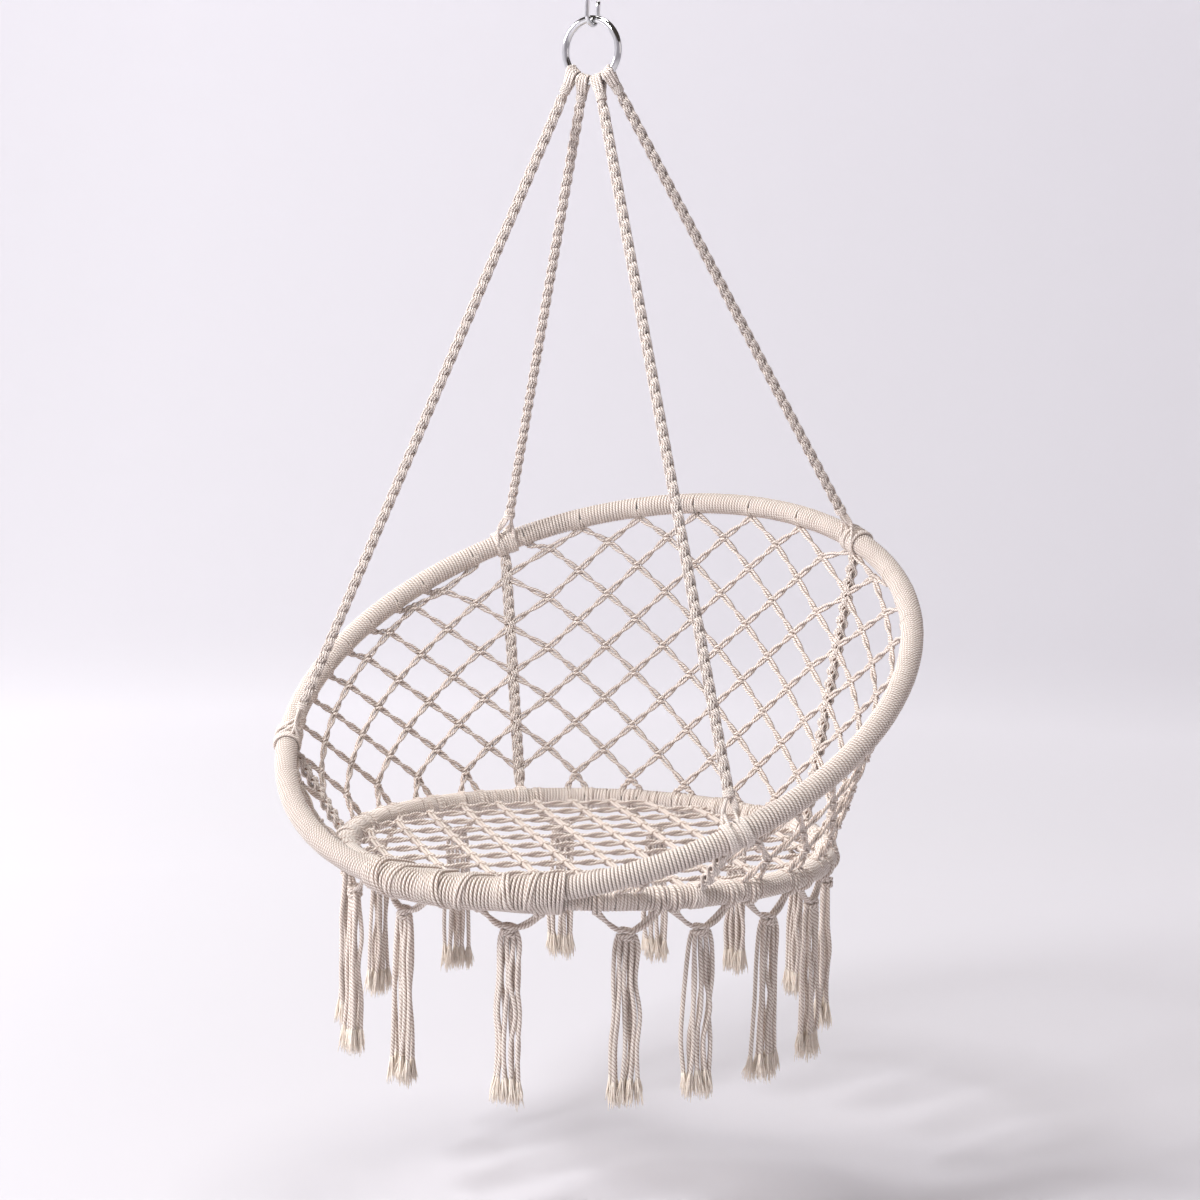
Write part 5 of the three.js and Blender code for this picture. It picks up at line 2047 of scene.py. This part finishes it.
@dataclass
class Studio:
    """The pale sweep, the lights and the camera."""

    lamps: tuple[Lamp, ...] = (
        Lamp("key", (-0.8, -3.1, 2.8), 0.8, 142.0, (0.975, 0.985, 1.0)),
        Lamp("side", (-3.1, -1.2, 2.2), 1.3, 88.0, (1.0, 0.98, 0.96)),
        Lamp("top", (-0.3, 0.3, 3.4), 1.0, 40.0, (1.0, 0.98, 0.96)),
        Lamp("fill", (3.0, 0.4, 1.4), 1.6, 6.0, (1.0, 0.93, 0.87)),
    )
    lamp_target: tuple[float, float, float] = (0.0, 0.0, 0.35)
    darkness: Colour = (0.066, 0.056, 0.05)
    floor: float = -0.44
    floor_radius: float = 5.2
    wall_radius: float = 8.0
    wall_height: float = 4.6
    elevation: float = 6.973
    roll: float = 1.172
    distance: float = 3.2164
    target_right: float = 9.817 * MM
    target_up: float = 294.657 * MM
    focal_pixels: float = 2715.6
    frame_pixels: float = 1200.0
    sensor: float = 36.0
    clip_end: float = 60
    bend_steps: int = 12
    sweep_steps: int = 96

    def build(self) -> None:
        """Makes the studio."""
        self.make_sweep()
        self.make_lights()
        self.make_camera()

    def make_sweep(self) -> None:
        """A round floor whose edge curves up into a wall."""
        body = bmesh.new()
        centre = Vector((0, 0, self.floor)) - Vector(HANGING_POINT)
        bend = self.wall_radius - self.floor_radius
        angles = [math.radians(90 * k / self.bend_steps) for k in range(self.bend_steps + 1)]
        profile = [(self.floor_radius + bend * math.sin(a), bend * (1 - math.cos(a))) for a in angles]
        places = [(0.0, 0.0), *profile, (self.wall_radius, self.wall_height)]
        verts = [body.verts.new(centre + Vector((x, 0, z))) for x, z in places]
        edges = [body.edges.new(pair) for pair in zip(verts, verts[1:])]
        bmesh.ops.spin(
            body,
            geom=verts + edges,
            cent=centre,
            axis=(0, 0, 1),
            angle=2 * math.pi,
            steps=self.sweep_steps,
            use_merge=True,
        )
        bmesh.ops.remove_doubles(body, verts=body.verts, dist=1e-5)
        bmesh.ops.recalc_face_normals(body, faces=body.faces)
        bmesh.ops.reverse_faces(body, faces=body.faces)
        for face in body.faces:
            face.smooth = True
        mesh = bpy.data.meshes.new("studio_sweep")
        body.to_mesh(mesh)
        body.free()
        sweep = bpy.data.objects.new("studio_sweep", mesh)
        mesh.materials.append(StudioFinish().build())
        bpy.context.scene.collection.objects.link(sweep)

    def make_lights(self) -> None:
        """A key from the upper left, a side light, a top light and a fill, each turned to the chair."""
        target = Vector(self.lamp_target) - Vector(HANGING_POINT)
        for lamp in self.lamps:
            data = bpy.data.lights.new(lamp.name, "AREA")
            data.size = lamp.size
            data.energy = lamp.power
            data.color = lamp.colour
            light = bpy.data.objects.new(lamp.name, data)
            light.location = Vector(lamp.place) - Vector(HANGING_POINT)
            light.rotation_euler = (target - light.location).to_track_quat("-Z", "Y").to_euler()
            bpy.context.scene.collection.objects.link(light)
        world = bpy.data.worlds.new("studio_dark")
        world.use_nodes = True
        world.node_tree.nodes["Background"].inputs["Color"].default_value = rgba(self.darkness)
        bpy.context.scene.world = world
        bpy.context.scene.view_settings.view_transform = "Standard"

    def make_camera(self) -> None:
        """The camera at the photograph's viewpoint."""
        a, e, roll = (math.radians(angle) for angle in (VIEW_AZIMUTH, self.elevation, self.roll))
        back = Vector((math.sin(a) * math.cos(e), -math.cos(a) * math.cos(e), math.sin(e)))
        level = Vector((math.cos(a), math.sin(a), 0))
        upright = back.cross(level)
        right = level * math.cos(roll) + upright * math.sin(roll)
        up = upright * math.cos(roll) - level * math.sin(roll)
        target = level * self.target_right + Vector((0, 0, self.target_up)) - Vector(HANGING_POINT)
        camera = bpy.data.cameras.new("camera")
        camera.lens = self.focal_pixels / self.frame_pixels * self.sensor
        camera.sensor_width = self.sensor
        camera.clip_end = self.clip_end
        viewer = bpy.data.objects.new("camera", camera)
        turn = Matrix((right, up, back)).transposed().to_4x4()
        viewer.matrix_world = Matrix.Translation(target + back * self.distance) @ turn
        bpy.context.scene.collection.objects.link(viewer)
        bpy.context.scene.camera = viewer


def main() -> None:
    """Builds the chair and the studio."""
    logging.basicConfig(level=logging.INFO, format="%(message)s")
    finishes = Finishes()
    Studio().build()
    Suspension().build(finishes)
    SideNets().build(finishes)
    SeatNet().build(finishes)
    HoopWinding("seat", SEAT_HOOP, Body.SEAT).build(finishes)
    HoopWinding("back", BACK_HOOP, Body.BACK).build(finishes)
    Lashing().build(finishes)
    Tassels().build(finishes)
    Hardware().build(finishes)


if __name__ == "__main__":
    main()
